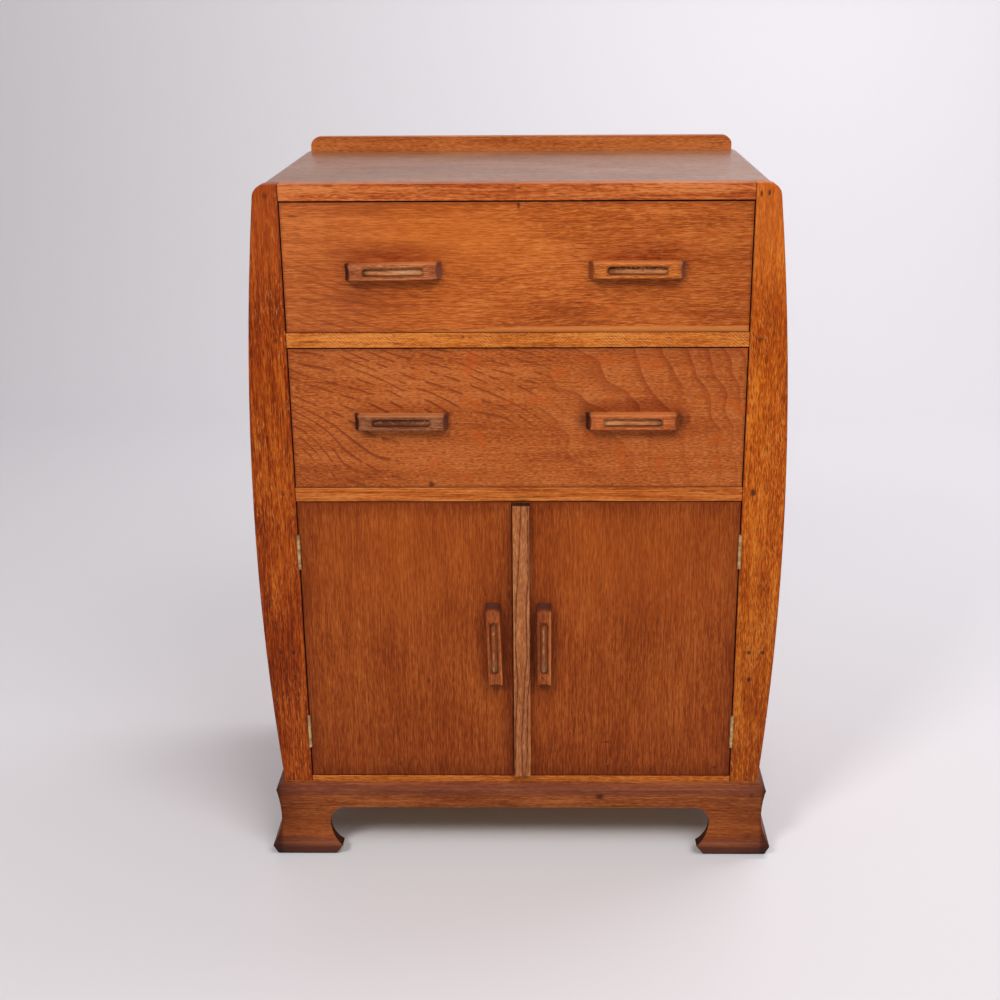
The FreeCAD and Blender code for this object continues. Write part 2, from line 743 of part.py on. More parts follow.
plinth_back_front = back - mm.back_rail_thickness
plinth_back = block("plinth_back", (-case_foot, case_foot), (plinth_back_front, back),
                    (mm.toe_height, mm.plinth_height))
block_x = (case_foot - mm.block_width, case_foot)
block_z = (mm.plinth_height - mm.block_height, mm.plinth_height)
front_block_y = (face, face + mm.block_width)
back_block_y = (plinth_back_front - mm.block_width, plinth_back_front)
lining_z = (mm.plinth_height - mm.lining_height, mm.plinth_height)
right_blocks = group(
    "right_blocks",
    block("front_block", block_x, front_block_y, block_z),
    block("back_block", block_x, back_block_y, block_z),
    block("side_lining", (case_foot - mm.lining_width, case_foot), (front_block_y[1], back_block_y[0]),
          lining_z))
front_lining = block("front_lining", (-block_x[0], block_x[0]), (face, face + mm.lining_width), lining_z)
plinth_blocks = group("plinth_blocks", right_blocks, mirror("left_blocks", right_blocks), front_lining)

# Handles, drawn along X with the middle of the base at the origin, then set in place

half_base = mm.handle_length / 2
half_spacing = mm.handle_screw_spacing / 2
slot_radius = mm.slot_height / 2
slot_half = mm.slot_length / 2 - slot_radius
slot_floor = mm.slot_depth - mm.handle_reach
slot_mouth = -mm.handle_reach - mm.overrun
slot_cut = join(
    "slot_cut",
    block("slot_middle", (-slot_half, slot_half), (slot_mouth, slot_floor), (-slot_radius, slot_radius)),
    rod("slot_left_end", (-slot_half, slot_mouth, ZERO), slot_radius, slot_floor - slot_mouth, "y"),
    rod("slot_right_end", (slot_half, slot_mouth, ZERO), slot_radius, slot_floor - slot_mouth, "y"))
handle_holes = [
    rod(f"handle_hole_{number}", (across, ZERO, ZERO), mm.handle_screw_radius,
        mm.handle_screw_bite, "-y")
    for number, across in enumerate((-half_spacing, half_spacing), start=1)]


def ball(name, x, y):
    item = doc.addObject("Part::Sphere", name)
    bind(item, Radius=mm.scoop_radius)
    place(item, x, y, ZERO)
    return item


scoop_x = half_base + mm.scoop_out
scoop_y = -mm.handle_reach - mm.scoop_forward
scoops = [ball("left_scoop", -scoop_x, scoop_y), ball("right_scoop", scoop_x, scoop_y)]


def pull(name, height):
    """A bar with a routed slot in its front and a scooped hollow at each end."""
    bar = slab(name + "_bar", "xy", -height / 2, height / 2, [
        (-half_base, -mm.handle_reach, None),
        (half_base, -mm.handle_reach, None),
        (half_base, ZERO, None),
        (-half_base, ZERO, None)])
    front_of_bar = PICK_TOLERANCE - mm.handle_reach.value
    round_edges(bar, mm.handle_arris,
                lambda middle: middle.y < front_of_bar and abs(middle.x) < PICK_TOLERANCE)
    return cut(name, bar, slot_cut, *scoops, *handle_holes)


drawer_pull = pull("drawer_pull", mm.drawer_handle_height)
door_pull = pull("door_pull", mm.door_handle_height)


def screw_pair(name, board):
    """Two screws driven from the back of a board into a handle's base."""
    head = mm.handle_screw_head - mm.handle_screw_radius
    return group(name, *[
        wood_screw(f"{name}_{number}", (across, board, ZERO), mm.handle_screw_head,
                   mm.handle_screw_radius, head, board + mm.handle_screw_bite - head, "-y",
                   (across, board - head, ZERO))
        for number, across in enumerate((-half_spacing, half_spacing), start=1)])


screws_for_drawer = screw_pair("drawer_handle_screw", mm.drawer_front_thickness)
screws_for_door = screw_pair("door_handle_screw", mm.door_thickness)


def set_in_place(name, shape, across, height, turn):
    """A copy of a shape on the front of the case, turned about an axis square to it."""
    item = group(name, shape)
    item.Placement = FreeCAD.Placement(
        FreeCAD.Vector(), FreeCAD.Rotation(FreeCAD.Vector(0, 1, 0), STARTING_TURN))
    place(item, across, face, height)
    bind(item, Placement__Rotation__Angle=turn)
    return item


# Drawers: lapped dovetails at the front, a housed back and a bottom held in grooves

subparts = []


def drawer(level, opening_bottom, opening_top, handle_places):
    front_bottom = opening_bottom + mm.drawer_bottom_gap
    front_top = opening_top - mm.drawer_top_gap
    front_back = face + mm.drawer_front_thickness
    side_bottom = opening_bottom + mm.slide_clearance
    side_top = front_top - mm.drawer_side_drop
    tail_end = face + mm.drawer_lap
    tails = int(mm.tail_count.value)
    pitch = (side_top - front_bottom) / tails
    corners = [
        (drawer_side_rear, side_bottom, None),
        (drawer_side_rear, side_top, None),
        (front_back, side_top, None)]
    for number in range(tails):
        middle = side_top - pitch * (number + 0.5)
        root = pitch * TAIL_SHARE
        wide = root + mm.tail_flare
        corners += [
            (front_back, middle + root, None),
            (tail_end, middle + wide, None),
            (tail_end, middle - wide, None),
            (front_back, middle - root, None)]
    corners.append((front_back, side_bottom, None))
    side_blank = slab(f"{level}_side_blank", "yz", side_inner, side_outer, corners)
    board_bottom = side_bottom + mm.drawer_groove_height
    board_top = board_bottom + mm.drawer_bottom_thickness
    back_rear = drawer_side_rear - mm.drawer_back_inset
    half_housed = side_inner + mm.drawer_groove
    board = block(f"{level}_drawer_bottom", (-half_housed, half_housed),
                  (front_back - mm.drawer_groove, back_rear), (board_bottom, board_top))
    rear = block(f"{level}_drawer_back", (-half_housed, half_housed),
                 (back_rear - mm.drawer_side_thickness, back_rear), (board_top, side_top))
    side_right = cut(f"{level}_drawer_side_right", side_blank, board, rear)
    side_left = mirror(f"{level}_drawer_side_left", side_right)
    handles = []
    screws = []
    for side, (across, share, turn) in handle_places.items():
        handle_height = opening_bottom + (opening_top - opening_bottom) * share
        handles.append(set_in_place(f"{level}_drawer_handle_{side}", drawer_pull, across,
                                    handle_height, turn))
        screws.append(set_in_place(f"{level}_{side}_screws", screws_for_drawer, across,
                                   handle_height, turn))
    handle_screws = group(f"{level}_drawer_handle_screws", *screws)
    front_blank = block(f"{level}_front_blank", (-side_outer, side_outer), (face, front_back),
                        (front_bottom, front_top))
    front = cut(f"{level}_drawer_front", front_blank, side_right, side_left, board, handle_screws)
    subparts.extend([front, side_left, side_right, rear, board, *handles, handle_screws])


drawer("upper", upper_opening, top_underside, {
    "left": (-half_opening * UPPER_LEFT_SHARES[0], UPPER_LEFT_SHARES[1], mm.upper_left_handle_tilt),
    "right": (half_opening * UPPER_RIGHT_SHARES[0], UPPER_RIGHT_SHARES[1], ZERO)})
drawer("lower", lower_opening, lower_opening_top, {
    "left": (-half_opening * LOWER_LEFT_SHARES[0], LOWER_LEFT_SHARES[1], ZERO),
    "right": (half_opening * LOWER_RIGHT_SHARES[0], LOWER_RIGHT_SHARES[1], ZERO)})

# Doors, the strip that covers their meeting edges, and the catches behind them

door_bottom = door_opening + mm.door_bottom_gap
door_top = door_opening_top - mm.door_top_gap
door_back = face + mm.door_thickness
door_z = (door_bottom, door_top)
door_handle_height = door_bottom + (door_top - door_bottom) * DOOR_HANDLE_SHARE
left_meeting = mm.meeting_centre - mm.meeting_gap / 2
right_meeting = mm.meeting_centre + mm.meeting_gap / 2
plate_z = (door_bottom + mm.plate_lift, door_bottom + mm.plate_lift + mm.plate_height)
catch_front = door_back + mm.plate_thickness + mm.catch_gap
catches = []


def centred(middle, length):
    return (middle - length / 2, middle + length / 2)


def door(side, edges, centre, relief, leaf, hinge_screws, handle_across, handle_turn, strip_screws):
    """One door with its handle, catch plate, moving hinge leaves and screws."""
    handle = set_in_place(f"{side}_door_handle", door_pull, handle_across,
                          door_handle_height, handle_turn)
    handle_screws = set_in_place(f"{side}_door_pull_screws", screws_for_door, handle_across,
                                 door_handle_height, handle_turn)
    screws = group(f"{side}_door_screws", hinge_screws, handle_screws, *strip_screws)
    plate = block(f"{side}_catch_plate", centred(centre, mm.plate_length),
                  (door_back, door_back + mm.plate_thickness), plate_z)
    catches.append(block(f"{side}_catch", centred(centre, mm.catch_length),
                         (catch_front, catch_front + mm.catch_depth),
                         (door_opening, door_opening + mm.catch_height)))
    blank = block(f"{side}_door_blank", edges, (face, door_back), door_z)
    panel = cut(f"{side}_door", blank, relief, leaf, screws)
    leaves = group(f"{side}_door_hinge_leaves", leaf)
    subparts.extend([panel, handle, leaves, screws, plate])


door("left", (-door_edge, left_meeting), mm.meeting_centre - mm.catch_across, left_of["relief"],
     left_of["door_leaf"], left_of["door_screw"], left_meeting - mm.left_door_handle_inset,
     mm.left_door_handle_tilt, [])
strip_x = right_meeting + mm.strip_width / 2
strip_head = mm.strip_screw_head - mm.strip_screw_radius
door_middle = (door_bottom + door_top) / 2
strip_screw_spacing = (door_top - door_bottom) * STRIP_SCREW_SHARE
strip_screw_list = [
    wood_screw(f"strip_screw_{row + 2}", (strip_x, door_back, door_middle + strip_screw_spacing * row),
               mm.strip_screw_head, mm.strip_screw_radius, strip_head,
               mm.door_thickness + mm.strip_screw_bite - strip_head, "-y",
               (strip_x, door_back - strip_head, door_middle + strip_screw_spacing * row))
    for row in (-1, 0, 1)]
door("right", (right_meeting, door_edge), mm.meeting_centre + mm.catch_across, right_of["relief"],
     right_of["door_leaf"], right_of["door_screw"], right_meeting + mm.right_door_handle_inset,
     mm.upright_turn, strip_screw_list)
strip_blank = block("strip_blank", (right_meeting, right_meeting + mm.strip_width),
                    (face - mm.strip_thickness, face),
                    (door_bottom + mm.strip_foot_rise, door_top - mm.strip_top_drop))
closing_strip = cut("closing_strip", strip_blank, *strip_screw_list)
magnetic_catches = group("magnetic_catches", *catches)

# Check every object and write each sub-part to a file of its own

subparts += [
    front_stile_left, front_stile_right, back_stile_left, back_stile_right, side_panel_left,
    side_panel, top_panel, top_front_rail, gallery, upper_drawer_rail, lower_drawer_rail,
    bottom_rail, back_rails, back_panel, drawer_runners, drawer_guides, dust_panel, drawer_stops,
    cupboard_shelf, shelf_bearers, cupboard_floor, plinth_front, plinth_side_left,
    plinth_side_right, plinth_back, plinth_blocks, face_nails, stile_hinge_leaves, hinge_pins,
    stile_hinge_screws, magnetic_catches, closing_strip]
doc.recompute()
failed = [item.Name for item in doc.Objects if "Invalid" in item.State or "Error" in item.State]
if failed:
    raise RuntimeError(f"objects that failed: {failed}")
os.makedirs("parts", exist_ok=True)
for subpart in subparts:
    subpart.Label = subpart.Name
    if subpart.Shape.isNull() or not subpart.Shape.isValid():
        raise RuntimeError(f"{subpart.Label} has no valid shape")
    if not subpart.Shape.Solids:
        raise RuntimeError(f"{subpart.Label} holds no solid")
    subpart.Shape.exportStep(f"parts/{subpart.Label}.step")
print(len(subparts), "sub-parts written")
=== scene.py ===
"""The looks of an oak tallboy: two drawers over a cupboard, in a case with bowed sides.

Metres. +X is the cabinet's right, the front faces -Y and the floor is Z = 0.
"""

import json
import math

import bmesh
import bpy
from mathutils import Matrix, Vector

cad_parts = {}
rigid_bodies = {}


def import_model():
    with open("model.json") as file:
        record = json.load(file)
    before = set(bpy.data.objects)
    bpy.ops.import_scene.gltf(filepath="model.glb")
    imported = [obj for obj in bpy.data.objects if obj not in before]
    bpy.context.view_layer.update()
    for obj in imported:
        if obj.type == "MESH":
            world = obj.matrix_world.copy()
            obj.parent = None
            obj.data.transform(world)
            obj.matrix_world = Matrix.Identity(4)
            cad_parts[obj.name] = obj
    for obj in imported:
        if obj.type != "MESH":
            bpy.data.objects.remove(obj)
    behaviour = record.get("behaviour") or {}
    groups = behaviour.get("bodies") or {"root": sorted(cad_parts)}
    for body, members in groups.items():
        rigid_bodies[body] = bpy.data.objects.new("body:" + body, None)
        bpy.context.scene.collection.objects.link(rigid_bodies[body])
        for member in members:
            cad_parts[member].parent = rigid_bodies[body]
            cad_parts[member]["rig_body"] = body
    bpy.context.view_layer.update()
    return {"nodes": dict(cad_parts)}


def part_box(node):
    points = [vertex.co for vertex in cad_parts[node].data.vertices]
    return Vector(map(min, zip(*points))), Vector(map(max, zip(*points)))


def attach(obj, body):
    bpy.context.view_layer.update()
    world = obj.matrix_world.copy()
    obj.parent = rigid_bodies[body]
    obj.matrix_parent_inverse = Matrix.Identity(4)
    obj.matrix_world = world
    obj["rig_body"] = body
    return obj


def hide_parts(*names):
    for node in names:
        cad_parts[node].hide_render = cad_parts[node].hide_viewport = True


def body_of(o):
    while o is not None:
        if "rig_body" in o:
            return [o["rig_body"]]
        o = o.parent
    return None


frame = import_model()
nodes = frame["nodes"]
scene = bpy.context.scene
body_of_node = {name: body_of(node)[0] for name, node in nodes.items()}


def add_object(name, data):
    made = bpy.data.objects.new(name, data)
    scene.collection.objects.link(made)
    return made


def smooth(mesh):
    for face in mesh.polygons:
        face.use_smooth = True


# Camera and light

CAMERA_PLACE = (0.0401, -2.1848, 1.2749)
CAMERA_YAW = math.radians(0.9)
CAMERA_PITCH = math.radians(19.36)
CAMERA_ROLL = math.radians(-0.35)
CAMERA_LENS = 52.906
CAMERA_SENSOR = 36
CAMERA_SHIFT = -0.0247
# Each lamp's name, place, the point that it faces, size, power and tint
LAMPS = (
    ("key_left", (-1.5, -2.5, 2.9), (-0.05, -0.2, 0.6), 0.9, 58, (1, 0.985, 0.96)),
    ("high_front", (1.25, -2.2, 3.3), (0.15, -0.6, 0.3), 2.0, 72, (1, 0.99, 0.98)),
    ("wall_wash", (1.4, 0.9, 3.3), (0.9, 3.4, 1.3), 2.0, 76, (0.98, 0.98, 1)))
ROOM_TINT = (0.79, 0.79, 0.83, 1)
ROOM_LIGHT = 0.29


def add_camera():
    camera = add_object("camera", bpy.data.cameras.new("camera"))
    camera.data.sensor_width = CAMERA_SENSOR
    camera.data.lens = CAMERA_LENS
    camera.data.shift_x = CAMERA_SHIFT
    turn = (Matrix.Rotation(CAMERA_YAW, 4, "Z")
            @ Matrix.Rotation(math.radians(90) - CAMERA_PITCH, 4, "X")
            @ Matrix.Rotation(CAMERA_ROLL, 4, "Z"))
    camera.matrix_world = Matrix.Translation(CAMERA_PLACE) @ turn
    scene.camera = camera


def add_lamp(name, place, target, size, power, tint):
    lamp = add_object(name, bpy.data.lights.new(name, "AREA"))
    lamp.data.shape = "SQUARE"
    lamp.data.size = size
    lamp.data.energy = power
    lamp.data.color = tint
    away = Vector(place) - Vector(target)
    lamp.location = place
    lamp.rotation_mode = "QUATERNION"
    lamp.rotation_quaternion = away.to_track_quat("Z", "Y")


def add_room_light():
    studio = bpy.data.worlds.new("studio")
    scene.world = studio
    studio.use_nodes = True
    room = studio.node_tree.nodes["Background"]
    room.inputs["Color"].default_value = ROOM_TINT
    room.inputs["Strength"].default_value = ROOM_LIGHT


add_camera()
scene.view_settings.view_transform = "Standard"
for lamp in LAMPS:
    add_lamp(*lamp)
add_room_light()

# Shader values and node trees

PLAIN_GLOSS = 0.5
BUMP_STRENGTH = 0.6


def tone(red, green, blue):
    """A colour given as it shows on a screen, from 0 to 255."""
    straight = []
    for level in (red, green, blue):
        share = level / 255
        straight.append(share / 12.92 if share <= 0.04045 else ((share + 0.055) / 1.055) ** 2.4)
    return (*straight, 1)


class Wire:
    """A node's output that Python's operators work on; each one adds its Math node."""

    def __init__(self, owner, socket):
        self.owner = owner
        self.socket = socket

    def maths(self, operation, *others):
        return self.owner.node("ShaderNodeMath", {"operation": operation},
                               dict(enumerate((self, *others))))

    def __add__(self, other):
        return self.maths("ADD", other)

    __radd__ = __add__

    def __sub__(self, other):
        return self.maths("SUBTRACT", other)

    def __rsub__(self, other):
        return (self * -1) + other

    def __mul__(self, other):
        return self.maths("MULTIPLY", other)

    __rmul__ = __mul__

    def __truediv__(self, other):
        return self.maths("DIVIDE", other)

    def __abs__(self):
        return self.maths("ABSOLUTE")


class Tree:
    """A node tree of shader or geometry nodes, all added by one method."""

    def __init__(self, tree):
        self.tree = tree

    def node(self, kind, settings=None, sockets=None, out=0):
        """Any node: its type, its settings, which are set first, and its sockets' values or links."""
        made = self.tree.nodes.new(kind)
        for key, value in (settings or {}).items():
            if key == "stops":
                self.lay_stops(made.color_ramp, value)
            else:
                setattr(made, key, value)
        for key, value in (sockets or {}).items():
            self.feed(made.inputs[key], value)
        return Wire(self, made.outputs[out])

    def feed(self, socket, value):
        if isinstance(value, Wire):
            self.tree.links.new(value.socket, socket)
        else:
            socket.default_value = value

    def lay_stops(self, ramp, stops):
        while len(ramp.elements) < len(stops):
            ramp.elements.new(0.5)
        for element, (position, colour) in zip(ramp.elements, stops):
            element.position = position
            element.color = colour


class Recipe(Tree):
    """One material and the nodes that make it."""

    def __init__(self, name):
        self.material = bpy.data.materials.new(name)
        self.material.use_nodes = True
        super().__init__(self.material.node_tree)
        self.shader = self.tree.nodes["Principled BSDF"]
        self.x, self.y, self.z = self.parts_of(self.node("ShaderNodeTexCoord", out="Object"))

    def parts_of(self, vector):
        return [self.node("ShaderNodeSeparateXYZ", sockets={0: vector}, out=axis) for axis in range(3)]

    def ramp(self, amount, stops):
        return self.node("ShaderNodeValToRGB", {"stops": stops}, {0: amount})

    def mix(self, amount, first, second, blend="MIX"):
        return self.node("ShaderNodeMix", {"data_type": "RGBA", "blend_type": blend},
                         {0: amount, 6: first, 7: second}, 2)

    def rise(self, value, low, high, bottom=0.0, top=1.0):
        """Goes smoothly from the bottom to the top while the value goes from low to high."""
        return self.node("ShaderNodeMapRange", {"interpolation_type": "SMOOTHSTEP"},
                         {"Value": value, "From Min": low, "From Max": high,
                          "To Min": bottom, "To Max": top})

    def noise(self, x, y, z, detail=2.0, bend=0.0):
        """Soft noise with one wave for each unit of its three coordinates."""
        where = self.node("ShaderNodeCombineXYZ", sockets={0: x, 1: y, 2: z})
        return self.node("ShaderNodeTexNoise", sockets={
            "Vector": where, "Scale": 1.0, "Detail": detail, "Roughness": 0.5, "Distortion": bend})

    def near(self, x, z, half_width, half_height, soft):
        """One inside an upright ellipse on the front and nothing outside it."""
        across = (self.x - x) / half_width
        up = (self.z - z) / half_height
        reach = (across * across + up * up).maths("SQRT")
        return self.rise(reach, 1 + soft, 1 - soft)

    def finish(self, colour, rough, bump=None, bump_depth=0.0, gloss=PLAIN_GLOSS, metal=0.0):
        """Joins the colour, roughness and relief to the shader; gloss and metal are plain numbers."""
        self.feed(self.shader.inputs["Base Color"], colour)
        self.feed(self.shader.inputs["Roughness"], rough)
        self.shader.inputs["Metallic"].default_value = metal
        self.shader.inputs["Specular IOR Level"].default_value = gloss
        if bump is not None:
            relief = self.node("ShaderNodeBump", sockets={
                "Strength": BUMP_STRENGTH, "Distance": bump_depth, "Height": bump})
            self.feed(self.shader.inputs["Normal"], relief)
        return self.material


# Wood

VARNISH_GLOSS = 0.1
VARNISH_ROUGH = 0.42
VARNISH_RELIEF = 0.0001
BARE_ROUGH = 0.7
BARE_RELIEF = 0.00006
# Which way the grain runs: the axes along it, across it and through the board
GRAIN = {
    "long": (0, 2, 1),
    "upright": (2, 0, 1),
    "upright_side": (2, 1, 0),
    "long_side": (1, 2, 0),
    "top": (0, 1, 2),
}


class Timber(Recipe):
    """Wood whose figure is drawn out along its grain."""

    def __init__(self, name, grain, seed, wander=0.006):
        super().__init__(name)
        axes = (self.x, self.y, self.z)
        along, across, through = (axes[axis] for axis in GRAIN[grain])
        self.along = along + seed
        self.through = through
        sway = self.noise(self.along * 4, across * 9, through * 9, detail=1.0)
        self.across = across + (sway - 0.5) * wander

    def streaks(self, length, width, shift=0.0, detail=2.0, bend=0.0, slope=0.0):
        """Noise whose waves have a length along the grain and a width across it, in metres."""
        across = self.across + self.along * slope if slope else self.across
        return self.noise(self.along / length + shift, across / width, self.through / width,
                          detail=detail, bend=bend)

    def body(self, tones, fine=1.2, threads=0.6, lines=0.4, bands=0.4, drift=0.5, length=0.009,
             width=0.0015):
        """The wood's own colour: short fibres, long threads, wider lines, growth bands and slow drift."""
        deep, middle, light = tones
        self.fibre = self.streaks(length, width)
        amount = (0.5 + (self.fibre - 0.5) * fine
                  + (self.streaks(length * 4, width, shift=29.0) - 0.5) * threads
                  + (self.streaks(0.10, 0.0034, shift=5.0) - 0.5) * lines
                  + (self.streaks(0.22, 0.013, shift=11.0) - 0.5) * bands
                  + (self.streaks(0.16, 0.07, shift=17.0) - 0.5) * drift)
        return self.ramp(amount, [(0.2, deep), (0.5, middle), (0.8, light)])

    def pores(self, colour, tint, amount=0.4, length=0.012, width=0.0012, start=0.6):
        """Short dark dashes along the grain."""
        self.dashes = self.rise(self.streaks(length, width, shift=9.0, detail=1.0), start, start + 0.1)
        return self.mix(self.dashes * amount, colour, tint)

    def flecks(self, colour, tint, amount, length=0.014, width=0.0022, start=0.56, slope=0.0):
        """Pale streaks in patches, which may run at a slope to the grain."""
        sparks = self.streaks(length, width, shift=3.0, detail=1.5, bend=0.3, slope=slope)
        patches = self.rise(self.streaks(0.13, 0.05, shift=23.0), 0.36, 0.62)
        return self.mix(self.rise(sparks, start, start + 0.12) * patches * amount, colour, tint)

    def rays(self, phase, start):
        """Fine lines where a phase passes each whole number: soft on one side and sharp on the other."""
        return self.rise(phase.maths("FRACT"), start, 0.98)

    def commas(self, fall, spacing, reach, seed):
        """Short dark ray strokes along the level lines of a leaning height, in broken rows."""
        phase = fall / spacing + self.noise(self.x * 9, fall * 14, seed, detail=1.0) * 2.4
        row = phase.maths("FLOOR")
        present = self.rise(self.noise(self.x / reach, row * 5.3, seed), 0.43, 0.52)
        return self.rays(phase, 0.66) * present

    def winding_band(self, run, share, places, half_width):
        """A band whose place across the board wanders through the places given down its run."""
        middle = self.ramp(run, [(at, (place, place, place, 1)) for at, place in places])
        return self.rise(abs(share - middle), half_width, half_width * 0.3)

    def shade(self, mask, colour, tint):
        """A stain or shadow that darkens what is under it."""
        return self.mix(mask, colour, tint, "MULTIPLY")

    def marks(self, colour, places, tint):
        """Knots, filled nail holes and bruises: x, z, half width, half height and strength."""
        for x, z, half_width, half_height, strength in places:
            colour = self.mix(self.near(x, z, half_width, half_height, 0.6) * strength, colour, tint)
        return colour

    def varnished(self, colour, rough=VARNISH_ROUGH, bump_depth=VARNISH_RELIEF, gloss=VARNISH_GLOSS):
        """A worn satin varnish, a little rougher where the pores are open."""
        worn = self.noise(self.x * 14, self.y * 14, self.z * 14, detail=3.0)
        dull = rough + (worn - 0.5) * 0.14 + self.dashes * 0.12
        return self.finish(colour, dull, self.fibre - self.dashes * 0.8, bump_depth, gloss)


# The oak's colours: the dark, middle and light of each board
GOLDEN_RAIL = (tone(150, 68, 16), tone(188, 99, 31), tone(210, 130, 58))
LOWER_RAIL = (tone(144, 64, 16), tone(181, 93, 33), tone(204, 122, 58))
TOP_RAIL = (tone(140, 60, 24), tone(180, 90, 38), tone(202, 120, 66))
UPPER_FRONT = (tone(140, 62, 20), tone(176, 86, 31), tone(202, 114, 52))
LOWER_FRONT = (tone(138, 62, 22), tone(174, 89, 37), tone(197, 114, 58))
DOOR = (tone(112, 44, 8), tone(144, 63, 15), tone(172, 90, 34))
LEFT_STILE = (tone(102, 34, 3), tone(148, 57, 5), tone(182, 90, 20))
RIGHT_STILE = (tone(136, 54, 4), tone(175, 78, 9), tone(208, 118, 36))
SIDE = (tone(138, 62, 22), tone(174, 86, 34), tone(200, 116, 60))
# The top board's tones are greyer than the others': in part a painted sheen of the pale studio
TOP_BOARD = (tone(112, 70, 48), tone(138, 90, 62), tone(162, 114, 82))
GALLERY = (tone(140, 66, 26), tone(176, 94, 42), tone(198, 118, 64))
PLINTH = (tone(108, 48, 18), tone(142, 72, 31), tone(172, 98, 49))
STRIP = (tone(138, 78, 42), tone(168, 99, 54), tone(196, 130, 82))
BROWN_GRIP = (tone(118, 58, 30), tone(158, 84, 46), tone(188, 118, 72))
GOLDEN_GRIP = (tone(146, 70, 20), tone(184, 94, 34), tone(210, 130, 64))
DARK_GRIP = (tone(100, 54, 32), tone(136, 78, 48), tone(168, 110, 74))
RUSSET_GRIP = (tone(136, 62, 24), tone(178, 88, 40), tone(206, 118, 64))
RED_GRIP = (tone(114, 50, 18), tone(150, 72, 28), tone(180, 102, 52))
INSIDE = (tone(150, 104, 62), tone(190, 146, 98), tone(214, 176, 130))
PLY = (tone(168, 126, 80), tone(204, 164, 114), tone(224, 190, 146))
PALE_RAY = tone(218, 142, 70)
DARK_PORE = tone(80, 32, 10)
KNOT = tone(60, 26, 12)
JOINT = tone(84, 30, 14)


def plain_oak(name, grain, seed, tones, fleck, rough=VARNISH_ROUGH, gloss=VARNISH_GLOSS, **figure):
    oak = Timber(name, grain, seed)
    colour = oak.body(tones, **figure)
    colour = oak.flecks(colour, PALE_RAY, fleck)
    colour = oak.pores(colour, DARK_PORE)
    return oak.varnished(colour, rough, gloss=gloss)


def bare_wood(name, grain, seed, tones):
    wood = Timber(name, grain, seed)
    colour = wood.pores(wood.body(tones, 1.0, 0.4, 0.3, 0.4), tones[0], 0.25)
    return wood.varnished(colour, BARE_ROUGH, BARE_RELIEF)


# Finishes of single pieces, with their own stains and figure

# The planes of the drawer fronts and of the closing strip, and half the width between the stiles
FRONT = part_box("upper_drawer_front")[0].y
STRIP_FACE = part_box("closing_strip")[0].y
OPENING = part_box("upper_drawer_front")[1].x
# The handles: how far they stand out, half of their flat face, and the slot that is routed into it
HANDLE_FRONT = FRONT - 0.016
HANDLE_FACE = 0.0590
SLOT_HALF = 0.0410
SLOT_HALF_HEIGHT = 0.0056
SLOT_FLOOR = HANDLE_FRONT + 0.005
# Heights on the plinth: its moulded ridge, the top of its toe, and the painted highlight over the toe
RIDGE_HEIGHT = 0.1122
TOE_TOP = 0.0195
TOE_HIGHLIGHT = 0.0225


def middle_of(node):
    low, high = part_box(node)
    return (low + high) / 2


def painted_edge_shade(recipe, node, width):
    """One at the border of a flat front, falling to nothing at a width inside it."""
    low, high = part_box(node)
    side = (recipe.x - low.x).maths("MINIMUM", (recipe.x - high.x) * -1)
    upright = (recipe.z - low.z).maths("MINIMUM", (recipe.z - high.z) * -1)
    return recipe.rise(side.maths("MINIMUM", upright), width, 0.0)


def rail_finish(name, seed, tones, marks=(), rays=0.0, **figure):
    """A front rail, with a dark joint at each end and, where it has them, fine pale rays."""
    oak = Timber(name, "long", seed)
    colour = oak.body(tones, **figure)
    colour = oak.flecks(colour, PALE_RAY, 0.3)
    if rays:
        phase = (oak.x + oak.z * 1.1) * 190 + oak.noise(oak.x * 40, 3.0, oak.z * 40) * 2.4
        where = oak.rise(oak.noise(oak.x * 18, 5.0, 0.0, detail=1.0), 0.4, 0.6)
        colour = oak.mix(oak.rays(phase, 0.6) * where * rays, colour, tone(234, 162, 96))
    colour = oak.pores(colour, DARK_PORE, 0.5, 0.02, 0.0014)
    colour = oak.mix(oak.rise(abs(oak.x), OPENING + 0.0002, OPENING + 0.0012) * 0.8, colour, JOINT)
    colour = oak.marks(colour, marks, KNOT)
    return oak.varnished(colour)


def stile_finish(side, seed, tones, marks, slope, low_shade, high_tint, **figure):
    """A front stile, with painted shade low down and a tint near the top, and a dark joint where it meets
    the rails.
    """
    oak = Timber(f"{side}_stile_oak", "upright", seed)
    colour = oak.body(tones, **figure)
    colour = oak.flecks(colour, PALE_RAY, 0.45, 0.011, 0.0019, 0.57, slope)
    colour = oak.pores(colour, DARK_PORE, 0.6, 0.015, 0.0013, 0.58)
    # Painted shade, darker lower down
    colour = oak.shade(oak.rise(oak.z, 0.62, 0.2), colour, low_shade)
    colour = oak.mix(oak.rise(oak.z, 0.80, 1.0) * 0.45, colour, high_tint)
    colour = oak.mix(oak.rise(abs(oak.x), OPENING + 0.0030, OPENING + 0.0016) * 0.7, colour, JOINT)
    colour = oak.marks(colour, marks, KNOT)
    return oak.varnished(colour)


